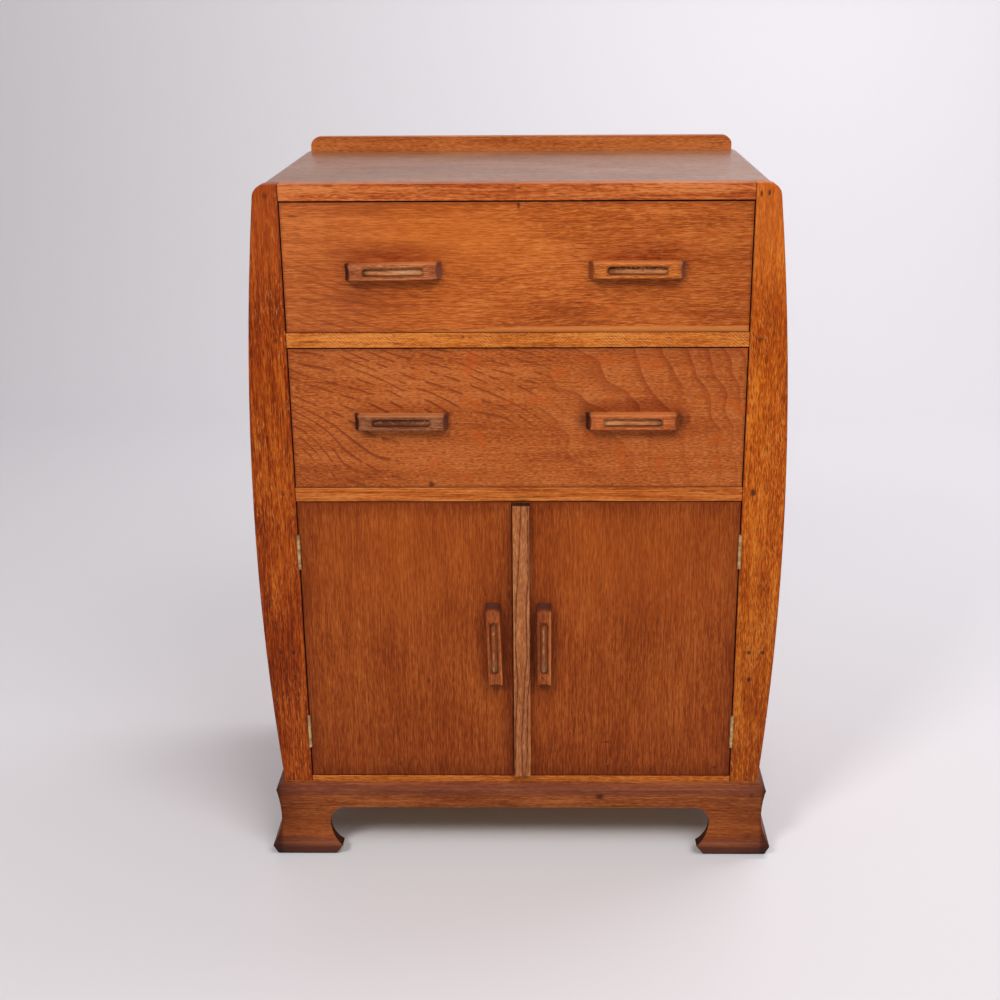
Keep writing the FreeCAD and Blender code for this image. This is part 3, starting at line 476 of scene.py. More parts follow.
def upper_front_finish():
    oak = Timber("upper_front_oak", "long", 1.3, wander=0.010)
    colour = oak.body(UPPER_FRONT, 1.3, 0.8, 0.3, 0.4, 0.8, 0.014, 0.0012)
    middle = oak.rise(oak.x, -0.14, 0.02)
    sparks = oak.rise(oak.streaks(0.013, 0.0019, shift=3.0, slope=-0.05), 0.54, 0.68)
    colour = oak.mix(sparks * middle * 0.4, colour, tone(220, 140, 74))
    colour = oak.pores(colour, DARK_PORE, 0.45, 0.010, 0.0012)
    low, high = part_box("upper_drawer_front")
    # Faint ray strokes run down to the right at the left end, mostly low down
    faint = oak.rise(oak.x, -0.10, -0.21) * oak.rise(oak.z, low.z + 0.19, low.z + 0.06)
    # Paler and greyer towards the left end: a painted sheen
    colour = oak.mix(oak.rise(oak.x, -0.10, -0.28) * 0.2, colour, tone(178, 102, 62))
    strokes = oak.commas(oak.z + oak.x * 0.28, 0.0120, 0.045, 2.0)
    colour = oak.mix(strokes * faint * 0.5, colour, tone(112, 46, 20))
    # Darker towards the right end: painted shade
    colour = oak.shade(oak.rise(oak.x, 0.08, 0.28) * 0.6, colour, tone(232, 224, 220))
    # A painted pool of light near the top edge
    painted_light_patch = oak.near(-0.10, high.z - 0.045, 0.13, 0.040, 0.9)
    colour = oak.mix(painted_light_patch * 0.3, colour, tone(202, 110, 40))
    for node, amount in (("upper_drawer_handle_left", 0.85), ("upper_drawer_handle_right", 0.6)):
        grip = middle_of(node)
        cloud = oak.near(grip.x - 0.004, grip.z + 0.019, 0.066, 0.017, 0.9)
        patchy = oak.rise(oak.streaks(0.03, 0.008, shift=2.0), 0.25, 0.6, 0.5)
        colour = oak.shade(cloud * patchy * amount, colour, tone(190, 154, 162))
    seam = low.z + 0.0022 + oak.rise(oak.x, -0.14, 0.06) * 0.0062
    seam = seam + (oak.noise(oak.x * 9, 0.0, 0.0) - 0.5) * 0.003
    sapwood = oak.rise(oak.z - seam, 0.0009, -0.0009) * oak.rise(oak.x, -0.16, -0.06)
    colour = oak.mix(sapwood * 0.7, colour, tone(204, 124, 62))
    colour = oak.marks(colour, [
        (0.0030, high.z - 0.004, 0.0022, 0.004, 0.75),
        (-0.300, high.z - 0.018, 0.008, 0.0022, 0.4)], KNOT)
    # Painted shade along the border of the front, beside the gaps
    colour = oak.mix(painted_edge_shade(oak, "upper_drawer_front", 0.005) * 0.35, colour, KNOT)
    return oak.varnished(colour)


def lower_front_finish():
    """Quarter-sawn oak crossed by rays: short dark strokes on the left, broad soft waves on the right."""
    oak = Timber("lower_front_oak", "long", 4.1, wander=0.008)
    colour = oak.body(LOWER_FRONT, 1.25, 0.6, 0.3, 0.4, 0.7, 0.0065, 0.0016)
    low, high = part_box("lower_drawer_front")
    depth = (oak.z - high.z) * -1
    # The rays run down to the right, and stand more upright low down on the left and at the right end
    inward = (oak.x - low.x).maths("MINIMUM", 0.07)
    onward = (oak.x + 0.02).maths("MAXIMUM", 0.0)
    lean = oak.x * 0.36 + inward * oak.rise(depth, 0.06, 0.23, 0.0, 0.8) + onward * onward * onward * 8
    fall = oak.z + lean
    calm = oak.rise(oak.x, -0.19, -0.13) * oak.rise(depth, 0.09, 0.13)
    strokes = oak.commas(fall, 0.0125, 0.026, 6.0) * oak.rise(oak.x, 0.10, 0.0) * (1 - calm)
    colour = oak.mix(strokes * 0.9, colour, tone(122, 52, 22))
    broad = fall * 17 + oak.noise(oak.x * 12, oak.z * 18, 4.0, detail=1.0) * 1.6
    there = oak.rise(oak.noise(oak.x * 18, broad.maths("FLOOR") * 4.1, 8.0, detail=1.0), 0.34, 0.50)
    there = there * oak.rise(oak.x, 0.0, 0.09) * oak.rise(depth, 0.08, 0.13, 1.0, 0.5)
    colour = oak.mix(oak.rays(broad * -1, 0.7) * there * 0.12, colour, tone(208, 130, 78))
    colour = oak.mix(oak.rays(broad, 0.55) * there * 0.6, colour, tone(138, 58, 20))
    dusky = oak.rise(depth, 0.045, 0.0) * oak.rise(abs(oak.x), 0.02, 0.22)
    colour = oak.shade(dusky * 0.45, colour, tone(206, 180, 186))
    blotches = oak.rise(oak.noise(oak.x * 24, 4.0, oak.z * 34, detail=1.0), 0.58, 0.68)
    colour = oak.mix(blotches * oak.rise(oak.x, -0.20, -0.08) * 0.45, colour, tone(184, 82, 24))
    colour = oak.pores(colour, DARK_PORE, 0.35, 0.008, 0.0013)
    for node in ("lower_drawer_handle_left", "lower_drawer_handle_right"):
        grip = middle_of(node)
        halo = oak.near(grip.x + 0.002, grip.z + 0.008, 0.076, 0.020, 0.5)
        colour = oak.shade(halo * 0.35, colour, tone(196, 164, 164))
    grip = middle_of("lower_drawer_handle_right")
    cloud = oak.near(grip.x, grip.z + 0.020, 0.056, 0.010, 0.8)
    colour = oak.shade(cloud * 0.55, colour, tone(190, 150, 146))
    for side in (-1, 1):
        smudge = oak.near(grip.x + side * 0.066, grip.z, 0.012, 0.013, 0.8)
        colour = oak.shade(smudge * 0.7, colour, tone(150, 128, 136))
    colour = oak.marks(colour, [
        (-0.1240, low.z + 0.004, 0.0040, 0.0034, 0.8),
        (0.1340, low.z + 0.005, 0.0016, 0.0022, 0.5)], KNOT)
    # Painted shade along the border of the front, beside the gaps
    colour = oak.mix(painted_edge_shade(oak, "lower_drawer_front", 0.005) * 0.35, colour, KNOT)
    return oak.varnished(colour)


def door_finish(side, seed, marks):
    oak = Timber(f"{side}_door_oak", "upright", seed, wander=0.003)
    colour = oak.body(DOOR, 1.2, 0.9, 0.25, 0.15, 0.5, 0.014, 0.0012)
    colour = oak.flecks(colour, tone(194, 108, 46), 0.4, 0.014, 0.0013, 0.56)
    colour = oak.pores(colour, DARK_PORE, 0.25, 0.008, 0.0011)
    node = f"{side}_door"
    low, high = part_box(node)
    # A painted pool of light near the top of the door
    painted_light_patch = oak.near((low.x + high.x) / 2, high.z - 0.09, 0.13, 0.09, 0.9)
    colour = oak.mix(painted_light_patch * 0.3, colour, tone(168, 80, 22))
    # Painted shade, darker towards the foot of the door
    foot = oak.rise(oak.z, low.z + 0.16, low.z)
    colour = oak.shade(foot * 0.45, colour, tone(208, 190, 210))
    # Painted shade towards the door's edges, deepest in a thin line right at them
    colour = oak.shade(painted_edge_shade(oak, node, 0.030) * 0.4, colour, tone(168, 140, 136))
    colour = oak.mix(painted_edge_shade(oak, node, 0.004) * 0.3, colour, KNOT)
    grip = middle_of(f"{side}_door_handle")
    halo = oak.near(grip.x, grip.z, 0.026, 0.084, 0.5)
    colour = oak.shade(halo * 0.5, colour, tone(168, 138, 140))
    colour = oak.marks(colour, marks, KNOT)
    return oak.varnished(colour)


# Where each dark pore band of the closing strip lies across it, from its top (0) to its foot (1)
STRIP_BANDS = [
    [(0.0, 0.50), (0.15, 0.39), (0.34, 0.20), (0.50, 0.13), (0.65, 0.25), (0.80, 0.10), (1.0, 0.04)],
    [(0.0, 0.86), (0.25, 0.90), (0.37, 0.76), (0.55, 0.81), (0.61, 0.68), (0.85, 0.46), (1.0, 0.52)],
    [(0.0, 1.00), (0.60, 1.00), (0.70, 0.82), (0.92, 0.79), (1.0, 0.62)]]


def strip_finish():
    """Paler oak with dark pore bands that wander down it, and a top end that is nearly black."""
    oak = Timber("strip_oak", "upright", 2.7, wander=0.003)
    colour = oak.body(STRIP, 1.3, 0.6, 0.4, 0.3, 0.4, 0.010, 0.0015)
    low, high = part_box("closing_strip")
    run = (oak.z - high.z) / (low.z - high.z)
    ragged = (oak.noise(oak.x * 500, oak.z * 110, 1.0) - 0.5) * 0.10
    share = (oak.x - low.x) / (high.x - low.x) + ragged
    open_pores = oak.rise(oak.noise(oak.x * 700, oak.z * 60, 4.0), 0.34, 0.56, 0.3)
    for places in STRIP_BANDS:
        colour = oak.mix(oak.winding_band(run, share, places, 0.13) * 0.3, colour, tone(132, 72, 44))
        colour = oak.mix(oak.winding_band(run, share, places, 0.055) * open_pores * 0.85, colour,
                         tone(76, 36, 22))
    colour = oak.pores(colour, tone(104, 52, 30), 0.45, 0.014, 0.0011)
    end = oak.rise(oak.z, high.z - 0.0012, high.z - 0.0004)
    colour = oak.mix(end * 0.92, colour, tone(24, 12, 10))
    colour = oak.mix(oak.rise(oak.x, low.x + 0.0012, low.x + 0.0004) * 0.4, colour, tone(110, 62, 38))
    return oak.varnished(colour, 0.5)


def plinth_finish(name, grain, sawn_axis, marks=()):
    """Browner oak, darker and purplish along the ridge and the toe, with a painted highlight over the
    toe, painted shade under it and a nearly black foot.
    """
    oak = Timber(name, grain, 6.2)
    colour = oak.body(PLINTH, 1.0, 0.8, 0.6, 0.5, 0.7, 0.010, 0.0014)
    colour = oak.pores(colour, DARK_PORE, 0.5, 0.022, 0.0014)
    ragged = oak.z + (oak.streaks(0.05, 0.01, shift=30.0) - 0.5) * 0.008
    ridge = oak.rise(ragged, RIDGE_HEIGHT - 0.0142, RIDGE_HEIGHT - 0.0062)
    ridge = ridge * oak.rise(oak.z, RIDGE_HEIGHT + 0.0083, RIDGE_HEIGHT + 0.0028)
    colour = oak.mix(ridge * 0.5, colour, tone(108, 58, 46))
    colour = oak.mix(oak.rise(oak.z, 0.078, 0.060) * 0.3, colour, tone(140, 70, 28))
    colour = oak.mix(oak.rise(ragged, 0.036, 0.024) * 0.55, colour, tone(92, 48, 38))
    # A painted highlight along the toe's upper edge
    colour = oak.mix(oak.rise(abs(oak.z - TOE_HIGHLIGHT), 0.0022, 0.0) * 0.35, colour, tone(146, 92, 68))
    # Painted shade on the face under the toe; the last few millimetres at the floor are nearly black
    colour = oak.mix(oak.rise(oak.z, TOE_TOP, TOE_TOP - 0.0055) * 0.6, colour, tone(70, 36, 26))
    colour = oak.mix(oak.rise(oak.z, 0.0050, 0.0010) * 0.9, colour, tone(24, 14, 12))
    # The corners at the front are darker, the left one most of all
    corner = oak.rise(abs(oak.x), 0.315, 0.374) * oak.rise(oak.y, -0.150, -0.200)
    colour = oak.shade(corner * 0.45, colour, tone(176, 156, 160))
    colour = oak.shade(corner * oak.rise(oak.x, 0.0, -0.1) * 0.35, colour, tone(190, 176, 176))
    outer = oak.rise(abs(oak.x), 0.3650, 0.3730)
    colour = oak.shade(outer * oak.rise(oak.y, -0.180, -0.208) * 0.7, colour, tone(120, 104, 108))
    # The sawn edges, which face up, down or along the board, are dark
    facing = oak.parts_of(oak.node("ShaderNodeTexCoord", out="Normal"))
    sawn = oak.rise(abs(facing[sawn_axis]), 0.2, 0.05)
    colour = oak.mix(sawn * 0.85, colour, tone(36, 20, 16))
    colour = oak.marks(colour, marks, KNOT)
    return oak.varnished(colour, 0.45)


def slot_outline(oak, along, across, outer, inner):
    """One over a handle's slot, fading between two amounts that make its outline larger or smaller."""
    return (oak.rise(along, SLOT_HALF + outer, SLOT_HALF + inner)
            * oak.rise(across, SLOT_HALF_HEIGHT + outer, SLOT_HALF_HEIGHT + inner))


def handle_finish(node, upright, seed, tones, floor, end_shades, mottle, speckle):
    """A handle with painted shade in its hollow ends and a routed slot whose floor goes from one tone to
    another.
    """
    oak = Timber(node + "_oak", "upright" if upright else "long", seed)
    grip = middle_of(node)
    colour = oak.body(tones, 1.2, 0.7, 0.6, 0.5, 0.6)
    colour = oak.pores(colour, DARK_PORE, 0.5, 0.014, 0.0012)
    aside = oak.x - grip.x
    above = oak.z - grip.z
    across_centre, along_centre = (aside, above) if upright else (above, aside)
    along = abs(along_centre)
    across = abs(across_centre)
    half = (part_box(node)[1] - grip)[0 if upright else 2]
    # The upper arris of the face, or the right one, gets a painted highlight, and the other one painted
    # shade
    painted_arris_highlight = oak.rise(across_centre, half - 0.0030, half - 0.0012)
    painted_arris_shade = oak.rise(across_centre * -1, half - 0.0022, half - 0.0008)
    colour = oak.mix(painted_arris_highlight * 0.45, colour, tone(208, 132, 76))
    colour = oak.mix(painted_arris_shade * 0.5, colour, tone(96, 48, 28))
    colour = oak.mix(oak.rise(along, HANDLE_FACE - 0.014, HANDLE_FACE) * 0.25, colour, tone(116, 62, 42))
    # The hollow ends get painted shade, darkest at their outer edge
    end_shade = oak.mix(oak.rise(along_centre, -0.01, 0.01), *end_shades)
    ends = oak.rise(along, HANDLE_FACE - 0.0004, HANDLE_FACE + 0.0008)
    ends = ends * oak.rise(along, HANDLE_FACE, HANDLE_FACE + 0.0035, 0.6, 0.95)
    colour = oak.mix(ends, colour, end_shade)
    # The slot: painted shade on a rim round it and on its walls, round a floor that shows streaks of its
    # own
    inside = slot_outline(oak, along, across, 0.0004, -0.0002)
    sunk = oak.rise(oak.y, HANDLE_FRONT + 0.0003, HANDLE_FRONT + 0.0009)
    rim_shade = slot_outline(oak, along, across, 0.0018, 0.0008)
    colour = oak.mix(rim_shade * 0.45, colour, tone(78, 38, 22))
    cloudy = oak.noise(oak.x * 150, 2.0, oak.z * 150) - 0.5
    share = along_centre / (SLOT_HALF * 2) + 0.5 + cloudy * 0.4
    ground = oak.ramp(share, [(index / (len(floor) - 1), paint) for index, paint in enumerate(floor)])
    streak = oak.rise(oak.streaks(0.020, 0.0015, shift=40.0), 0.46, 0.60)
    ground = oak.mix(streak * 0.5, ground, tone(122, 62, 34))
    # A painted highlight along the floor, in patches, beside a line of painted shade
    sway = cloudy * 0.006 + across_centre
    shine = oak.rise(oak.noise(oak.x * 60, 3.0, oak.z * 60), 0.45, 0.6)
    painted_floor_highlight = oak.rise(abs(sway + 0.0010), 0.0018, 0.0004) * shine
    painted_floor_shade = oak.rise(abs(sway - 0.0026), 0.0016, 0.0006)
    ground = oak.mix(painted_floor_highlight * 0.45, ground, tone(228, 166, 112))
    ground = oak.mix(painted_floor_shade * 0.4, ground, tone(96, 48, 28))
    if mottle:
        patches = oak.rise(oak.noise(oak.x * 210, 6.0, oak.z * 210), 0.44, 0.58)
        patches = patches * oak.rise(across_centre, -0.002, 0.0035)
        ground = oak.mix(patches * mottle, ground, tone(70, 36, 20))
    if speckle:
        specks = oak.rise(oak.noise(oak.x * 420, 9.0, oak.z * 420, detail=1.0), 0.55, 0.66)
        row = oak.rise(abs(sway), 0.0030, 0.0012)
        ground = oak.mix(specks * row * speckle, ground, tone(206, 150, 110))
    flat = oak.rise(oak.y, SLOT_FLOOR - 0.0006, SLOT_FLOOR - 0.0002)
    # Painted shade along the floor's long sides, under the walls
    corner = oak.rise(across, SLOT_HALF_HEIGHT - 0.0020, SLOT_HALF_HEIGHT - 0.0005)
    ground = oak.mix(corner * 0.75, ground, tone(70, 32, 18))
    colour = oak.mix(inside * sunk, colour, oak.mix(flat, tone(72, 38, 20), ground))
    return oak.varnished(colour, 0.46)


def metal_finish(name, clean, dull, rough, metal):
    plate = Recipe(name)
    tarnish = plate.noise(plate.x * 120, plate.y * 120, plate.z * 160, detail=3.0)
    colour = plate.mix(plate.rise(tarnish, 0.35, 0.65), dull, clean)
    return plate.finish(colour, rough + (tarnish - 0.5) * 0.2, metal=metal)


# Materials by node

# Marks: each one's x, z, half width, half height and strength
RIGHT_MARKS = [
    (0.3270, 1.0095, 0.0018, 0.0040, 0.75),
    (0.3375, 1.0110, 0.0018, 0.0034, 0.75),
    (0.335, 0.588, 0.0034, 0.0056, 0.85),
    (0.334, 0.811, 0.0034, 0.0034, 0.5),
    (0.340, 0.337, 0.0030, 0.0034, 0.8),
    (0.360, 0.337, 0.0030, 0.0034, 0.8),
    (0.342, 0.293, 0.0028, 0.0042, 0.9),
    (0.353, 0.327, 0.0016, 0.0018, 0.5),
    (0.326, 0.566, 0.0016, 0.0030, 0.4)]
LEFT_MARKS = [
    (-0.337, 1.010, 0.0036, 0.0044, 0.4),
    (-0.334, 0.811, 0.0034, 0.0034, 0.4),
    (-0.338, 0.588, 0.0034, 0.0040, 0.4),
    (-0.337, 0.337, 0.0030, 0.0034, 0.75),
    (-0.355, 0.337, 0.0030, 0.0034, 0.75)]
LEFT_DOOR_MARKS = [
    (-0.136, 0.290, 0.0016, 0.0052, 0.7),
    (-0.300, 0.520, 0.0020, 0.0030, 0.35),
    (-0.185, 0.150, 0.0024, 0.0016, 0.5)]
RIGHT_DOOR_MARKS = [
    (0.130, 0.188, 0.0052, 0.0014, 0.7),
    (0.132, 0.146, 0.0024, 0.0016, 0.6),
    (0.162, 0.144, 0.0022, 0.0014, 0.6),
    (0.296, 0.145, 0.0022, 0.0020, 0.6),
    (0.192, 0.417, 0.0012, 0.0032, 0.5),
    (0.152, 0.545, 0.0020, 0.0018, 0.35)]
PLINTH_MARKS = [
    (0.121, 0.099, 0.0062, 0.0050, 0.8),
    (0.353, 0.103, 0.0040, 0.0032, 0.5),
    (0.350, 0.031, 0.0040, 0.0024, 0.4)]
UPPER_RAIL_MARKS = [
    (-0.285, 0.809, 0.022, 0.0016, 0.45),
    (-0.170, 0.818, 0.0030, 0.0018, 0.4),
    (-0.075, 0.816, 0.0022, 0.0024, 0.6),
    (0.045, 0.814, 0.006, 0.0008, 0.5),
    (0.170, 0.812, 0.009, 0.0007, 0.5),
    (0.255, 0.808, 0.012, 0.0008, 0.5)]
TOP_RAIL_MARKS = [
    (0.003, 1.018, 0.0030, 0.0012, 0.6),
    (0.061, 1.010, 0.0060, 0.0012, 0.5),
    (-0.130, 1.014, 0.0020, 0.0010, 0.4)]

materials = {
    "front_stile_left": stile_finish("left", 3.1, LEFT_STILE, LEFT_MARKS, 0.0, tone(244, 240, 255),
                                     tone(156, 68, 28), fine=1.1, threads=0.9, lines=0.8, drift=0.7,
                                     length=0.012),
    "front_stile_right": stile_finish("right", 8.4, RIGHT_STILE, RIGHT_MARKS, 0.3, tone(240, 244, 255),
                                      tone(200, 104, 40), fine=1.3, threads=0.5, lines=0.6, drift=0.7,
                                      length=0.010),
    "top_front_rail": rail_finish("top_rail_oak", 1.9, TOP_RAIL, TOP_RAIL_MARKS, lines=0.9, bands=1.3),
    "upper_drawer_rail": rail_finish("upper_rail_oak", 5.3, GOLDEN_RAIL, UPPER_RAIL_MARKS, 0.5,
                                     lines=0.8, length=0.006),
    "lower_drawer_rail": rail_finish("lower_rail_oak", 7.7, LOWER_RAIL, fine=0.8, lines=1.5, bands=0.9),
    "bottom_rail": rail_finish("bottom_rail_oak", 2.2, GOLDEN_RAIL),
    "top_panel": plain_oak("top_board_oak", "top", 9.5, TOP_BOARD, 0.1, 0.34, gloss=0.32, width=0.0022),
    "gallery": plain_oak("gallery_oak", "long", 0.4, GALLERY, 0.2, bands=0.8),
    "upper_drawer_front": upper_front_finish(),
    "lower_drawer_front": lower_front_finish(),
    "left_door": door_finish("left", 12.6, LEFT_DOOR_MARKS),
    "right_door": door_finish("right", 15.2, RIGHT_DOOR_MARKS),
    "closing_strip": strip_finish(),
    "plinth_front": plinth_finish("plinth_front_oak", "long", 1, PLINTH_MARKS),
}
side_oak = plain_oak("side_oak", "upright_side", 11.0, SIDE, 0.4)
plinth_side_oak = plinth_finish("plinth_side_oak", "long_side", 0)
inside_long = bare_wood("inside_wood_long", "long", 3.3, INSIDE)
inside_deep = bare_wood("inside_wood_deep", "long_side", 6.6, INSIDE)
inside_ply = bare_wood("inside_ply", "top", 1.1, PLY)
back_ply = bare_wood("back_ply", "upright", 5.8, PLY)
brass = metal_finish("aged_brass", tone(208, 176, 122), tone(150, 114, 72), 0.42, 0.6)
steel = metal_finish("screw_steel", tone(128, 124, 118), tone(84, 74, 66), 0.4, 0.9)
filler = metal_finish("nail_filler", tone(74, 34, 18), tone(58, 26, 14), 0.7, 0.0)

# Tones of the slots' floors, and of the painted shade in the hollow ends
BROWN_SLOT = tone(146, 84, 48)
TAN_SLOT = tone(206, 130, 78)
PALE_SLOT = tone(226, 162, 112)
DARK_SLOT = tone(106, 56, 36)
WARM_SLOT = tone(222, 142, 84)
GREY_SLOT = tone(158, 110, 74)
RED_SLOT = tone(150, 78, 36)
BLACK_END = tone(54, 24, 18)
BROWN_END = tone(116, 68, 54)
PLAIN_END = tone(130, 64, 30)
MAROON_END = tone(70, 32, 28)
RUST_END = tone(96, 50, 38)
DOOR_SLOT = (GREY_SLOT, RED_SLOT, RED_SLOT, RED_SLOT)
# Each handle's node, whether it is upright, the seed and tones of its wood, the tones of its slot's floor
# and of the painted shade in its two ends, and how mottled and how speckled the floor is
HANDLES = (
    ("upper_drawer_handle_left", False, 25.2, BROWN_GRIP, (BROWN_SLOT, TAN_SLOT, PALE_SLOT, TAN_SLOT),
     (BLACK_END, BROWN_END), 0.0, 0.0),
    ("upper_drawer_handle_right", False, 25.9, GOLDEN_GRIP, (BROWN_SLOT, TAN_SLOT, TAN_SLOT),
     (PLAIN_END, BROWN_END), 0.8, 0.0),
    ("lower_drawer_handle_left", False, 26.6, DARK_GRIP, (DARK_SLOT, DARK_SLOT, BROWN_SLOT),
     (BLACK_END, RUST_END), 0.0, 0.7),
    ("lower_drawer_handle_right", False, 27.3, RUSSET_GRIP, (PALE_SLOT, WARM_SLOT, WARM_SLOT, GREY_SLOT),
     (BLACK_END, PLAIN_END), 0.0, 0.0),
    ("left_door_handle", True, 28.0, RED_GRIP, DOOR_SLOT, (PLAIN_END, MAROON_END), 0.0, 0.2),
    ("right_door_handle", True, 28.7, RED_GRIP, DOOR_SLOT, (PLAIN_END, MAROON_END), 0.0, 0.2))
for handle in HANDLES:
    materials[handle[0]] = handle_finish(*handle)

# Materials that several nodes share; the nodes named nowhere here are steel screws, plates and catches
for finish, names in (
        (side_oak, ("side_panel_left", "side_panel_right", "back_stile_left", "back_stile_right")),
        (plinth_side_oak, ("plinth_side_left", "plinth_side_right")),
        (inside_long, ("back_rails", "drawer_stops", "plinth_back", "upper_drawer_back",
                       "lower_drawer_back")),
        (inside_deep, ("drawer_runners", "drawer_guides", "shelf_bearers", "plinth_blocks",
                       "upper_drawer_side_left", "upper_drawer_side_right",
                       "lower_drawer_side_left", "lower_drawer_side_right")),
        (inside_ply, ("cupboard_shelf", "cupboard_floor", "dust_panel", "upper_drawer_bottom",
                      "lower_drawer_bottom")),
        (back_ply, ("back_panel",)),
        (filler, ("face_nails",)),
        (brass, ("stile_hinge_leaves", "hinge_pins", "left_door_hinge_leaves",
                 "right_door_hinge_leaves"))):
    materials.update(dict.fromkeys(names, finish))


def wear(mesh, material):
    mesh.materials.clear()
    mesh.materials.append(material)


for name, node in nodes.items():
    wear(node.data, materials.get(name, steel))

# Boards whose outer arrises are eased, each in place of its sharp CAD node

# Edges under the first angle are smooth, and faces within the second one are merged into one
SHARP = math.radians(28)
FLAT = math.radians(0.5)
# How close two corners are to be one, and an edge to a line to lie on it; shorter edges stay sharp
JOIN = 1e-6
NEAR = 0.0006
LONG = 0.004
# How far each kind of board is eased
JOINT_EASE = 0.0006
FRONT_EASE = 0.0011
TOP_EASE = 0.0012
STRIP_EASE = 0.0010
RIDGE_EASE = 0.0025


def eased(name, radius, wanted, steps=2):
    """A copy of a node with the wanted edges rounded; wanted is asked about both ends of an edge."""
    node = nodes[name]
    shape = bmesh.new()
    shape.from_mesh(node.data)
    bmesh.ops.remove_doubles(shape, verts=shape.verts, dist=JOIN)
    bmesh.ops.dissolve_limit(shape, angle_limit=FLAT, verts=shape.verts, edges=shape.edges)
    chosen = [edge for edge in shape.edges
              if len(edge.link_faces) == 2 and edge.calc_face_angle() > SHARP
              and wanted(edge.verts[0].co, edge.verts[1].co)]
    bmesh.ops.bevel(shape, geom=chosen, offset=radius, segments=steps, profile=0.5, affect="EDGES",
                    clamp_overlap=False)
    mesh = bpy.data.meshes.new(name + "_eased")
    shape.to_mesh(mesh)
    shape.free()
    board = add_object(name + "_eased", mesh)
    wear(mesh, materials[name])
    smooth(mesh)
    mesh.set_sharp_from_angle(angle=SHARP)
    weights = board.modifiers.new("flat_faces", "WEIGHTED_NORMAL")
    weights.keep_sharp = True
    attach(board, body_of_node[name])
    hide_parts(name)


def on_front(first, second):
    long_enough = (first - second).length > LONG
    return long_enough and max(first.y, second.y) < FRONT + NEAR


def on_border(name):
    """Picks the edges that run along the rectangle round a flat front."""
    low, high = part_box(name)

    def wanted(first, second):
        if not on_front(first, second):
            return False
        sides = [(first.x, second.x, low.x), (first.x, second.x, high.x),
                 (first.z, second.z, low.z), (first.z, second.z, high.z)]
        return any(abs(one - edge) < NEAR and abs(other - edge) < NEAR for one, other, edge in sides)

    return wanted


def on_ridge(first, second):
    off_ridge = max(abs(first.z - RIDGE_HEIGHT), abs(second.z - RIDGE_HEIGHT))
    return (first - second).length > LONG and off_ridge < NEAR


def on_strip_face(first, second):
    return min(first.y, second.y) < STRIP_FACE + NEAR


for name in ("front_stile_left", "front_stile_right"):
    eased(name, JOINT_EASE, on_front)
for name in ("upper_drawer_rail", "lower_drawer_rail", "bottom_rail"):
    eased(name, JOINT_EASE, on_front)
eased("top_front_rail", TOP_EASE, on_front, 3)
for name, material_slot in (("upper_drawer_front", "upper_front_oak"),
                            ("lower_drawer_front", "lower_front_oak"),
                            ("left_door", "door_oak"), ("right_door", "door_oak")):
    eased(name, FRONT_EASE, on_border(name), 3)
for name in ("plinth_front", "plinth_side_left", "plinth_side_right"):
    eased(name, RIDGE_EASE, on_ridge, 4)
eased("closing_strip", STRIP_EASE, on_strip_face, 3)

# Panel pins round the back, which hold it in the rebates of the case

# How far the pins stand in from the panel's edge and from each other, and the size of a head
PIN_INSET = 0.006
PIN_SPACING = 0.088
PIN_RADIUS = 0.0022
PIN_STAND = 0.0004
PIN_SIDES = 10
PIN_RINGS = 4


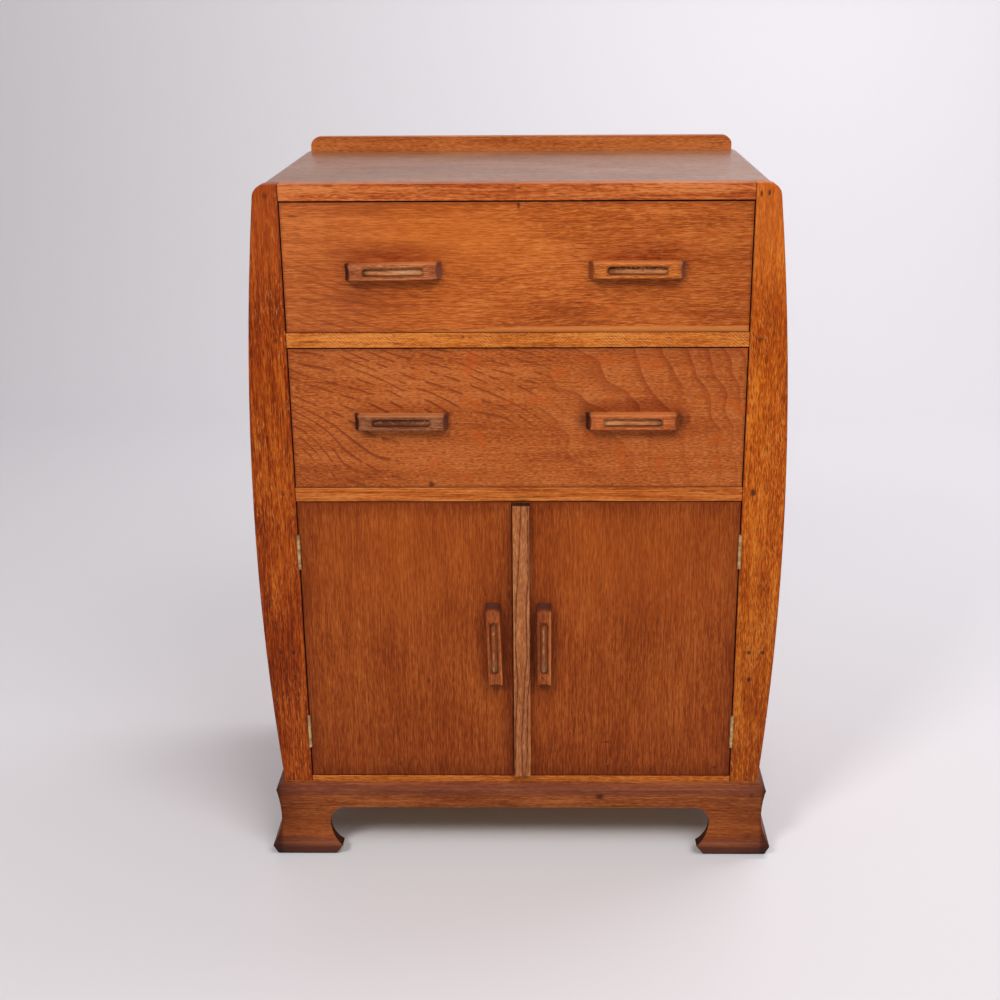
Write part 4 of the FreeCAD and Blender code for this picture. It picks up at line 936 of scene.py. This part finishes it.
class PinTree(Tree):
    """A Geometry Nodes tree with a named input for each of its sizes."""

    def __init__(self, name, sizes):
        super().__init__(bpy.data.node_groups.new(name, "GeometryNodeTree"))
        self.tree.interface.new_socket("Geometry", in_out="OUTPUT", socket_type="NodeSocketGeometry")
        self.settings = {}
        for label, value in sizes.items():
            made = self.tree.interface.new_socket(label, in_out="INPUT", socket_type="NodeSocketFloat")
            made.default_value = value
            self.settings[made.identifier] = value
        entry = self.tree.nodes.new("NodeGroupInput")
        self.sizes = {label: Wire(self, entry.outputs[label]) for label in sizes}

    def pin_heads(self, low, high, material):
        """Low round heads in a rectangle round the back face of a panel with the corners low and high."""
        size = self.sizes
        border = self.node("GeometryNodeCurvePrimitiveQuadrilateral", {"mode": "RECTANGLE"},
                           {"Width": size["Width"], "Height": size["Height"]})
        stands = self.node("GeometryNodeCurveToPoints", {"mode": "LENGTH"},
                           {"Curve": border, "Length": size["Spacing"]})
        flat = self.node("ShaderNodeCombineXYZ", sockets={"X": size["Radius"], "Y": size["Radius"],
                                                          "Z": size["Stand"]})
        ball = self.node("GeometryNodeMeshUVSphere", sockets={
            "Segments": PIN_SIDES, "Rings": PIN_RINGS, "Radius": 1.0})
        head = self.node("GeometryNodeTransform", sockets={"Geometry": ball, "Scale": flat})
        heads = self.node("GeometryNodeInstanceOnPoints", sockets={"Points": stands, "Instance": head})
        upright = self.node("GeometryNodeTransform", sockets={
            "Geometry": heads, "Rotation": (math.radians(90), 0.0, 0.0),
            "Translation": ((low.x + high.x) / 2, high.y, (low.z + high.z) / 2)})
        real = self.node("GeometryNodeRealizeInstances", sockets={"Geometry": upright})
        painted = self.node("GeometryNodeSetMaterial", sockets={"Geometry": real, "Material": material})
        self.feed(self.tree.nodes.new("NodeGroupOutput").inputs[0], painted)

    def made_plain(self, name):
        """The tree's result as a plain mesh, with the modifier and its carrier removed."""
        carrier = add_object(name + "_carrier", bpy.data.meshes.new(name + "_carrier"))
        step = carrier.modifiers.new("pins", "NODES")
        step.node_group = self.tree
        for identifier, value in self.settings.items():
            step[identifier] = value
        bpy.context.view_layer.update()
        evaluated = carrier.evaluated_get(bpy.context.evaluated_depsgraph_get())
        mesh = bpy.data.meshes.new_from_object(evaluated)
        bpy.data.objects.remove(carrier)
        return mesh


def pinned(name, node, material):
    """Pin heads round the back face of a panel, which ride on the panel's body."""
    low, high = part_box(node)
    pins = PinTree(name + "_tree", {
        "Width": high.x - low.x - PIN_INSET * 2,
        "Height": high.z - low.z - PIN_INSET * 2,
        "Spacing": PIN_SPACING,
        "Radius": PIN_RADIUS,
        "Stand": PIN_STAND})
    pins.pin_heads(low, high, material)
    piece = add_object(name, pins.made_plain(name))
    smooth(piece.data)
    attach(piece, body_of_node[node])


pinned("back_panel_pins", "back_panel", steel)

# Floor of the studio, which curves up into a wall far behind

FLOOR_REACH = 9.0
WALL_FOOT = 2.2
WALL_CURVE = 1.5
WALL_TOP = 6.0
CURVE_STEPS = 24
PAINT_ROUGH = 0.6

profile = [(-FLOOR_REACH, 0.0)]
for step in range(CURVE_STEPS + 1):
    angle = math.radians(90) * step / CURVE_STEPS
    profile.append((WALL_FOOT + WALL_CURVE * math.sin(angle), WALL_CURVE * (1 - math.cos(angle))))
profile.append((WALL_FOOT + WALL_CURVE, WALL_TOP))
backdrop_points = [(side * FLOOR_REACH, y, z) for y, z in profile for side in (-1, 1)]
backdrop_faces = [(row, row + 1, row + 3, row + 2) for row in range(0, len(backdrop_points) - 2, 2)]
backdrop_mesh = bpy.data.meshes.new("studio_backdrop")
backdrop_mesh.from_pydata(backdrop_points, [], backdrop_faces)
smooth(backdrop_mesh)
backdrop = add_object("studio_backdrop", backdrop_mesh)
wear(backdrop_mesh, Recipe("studio_paint").finish(tone(229, 226, 229), PAINT_ROUGH))
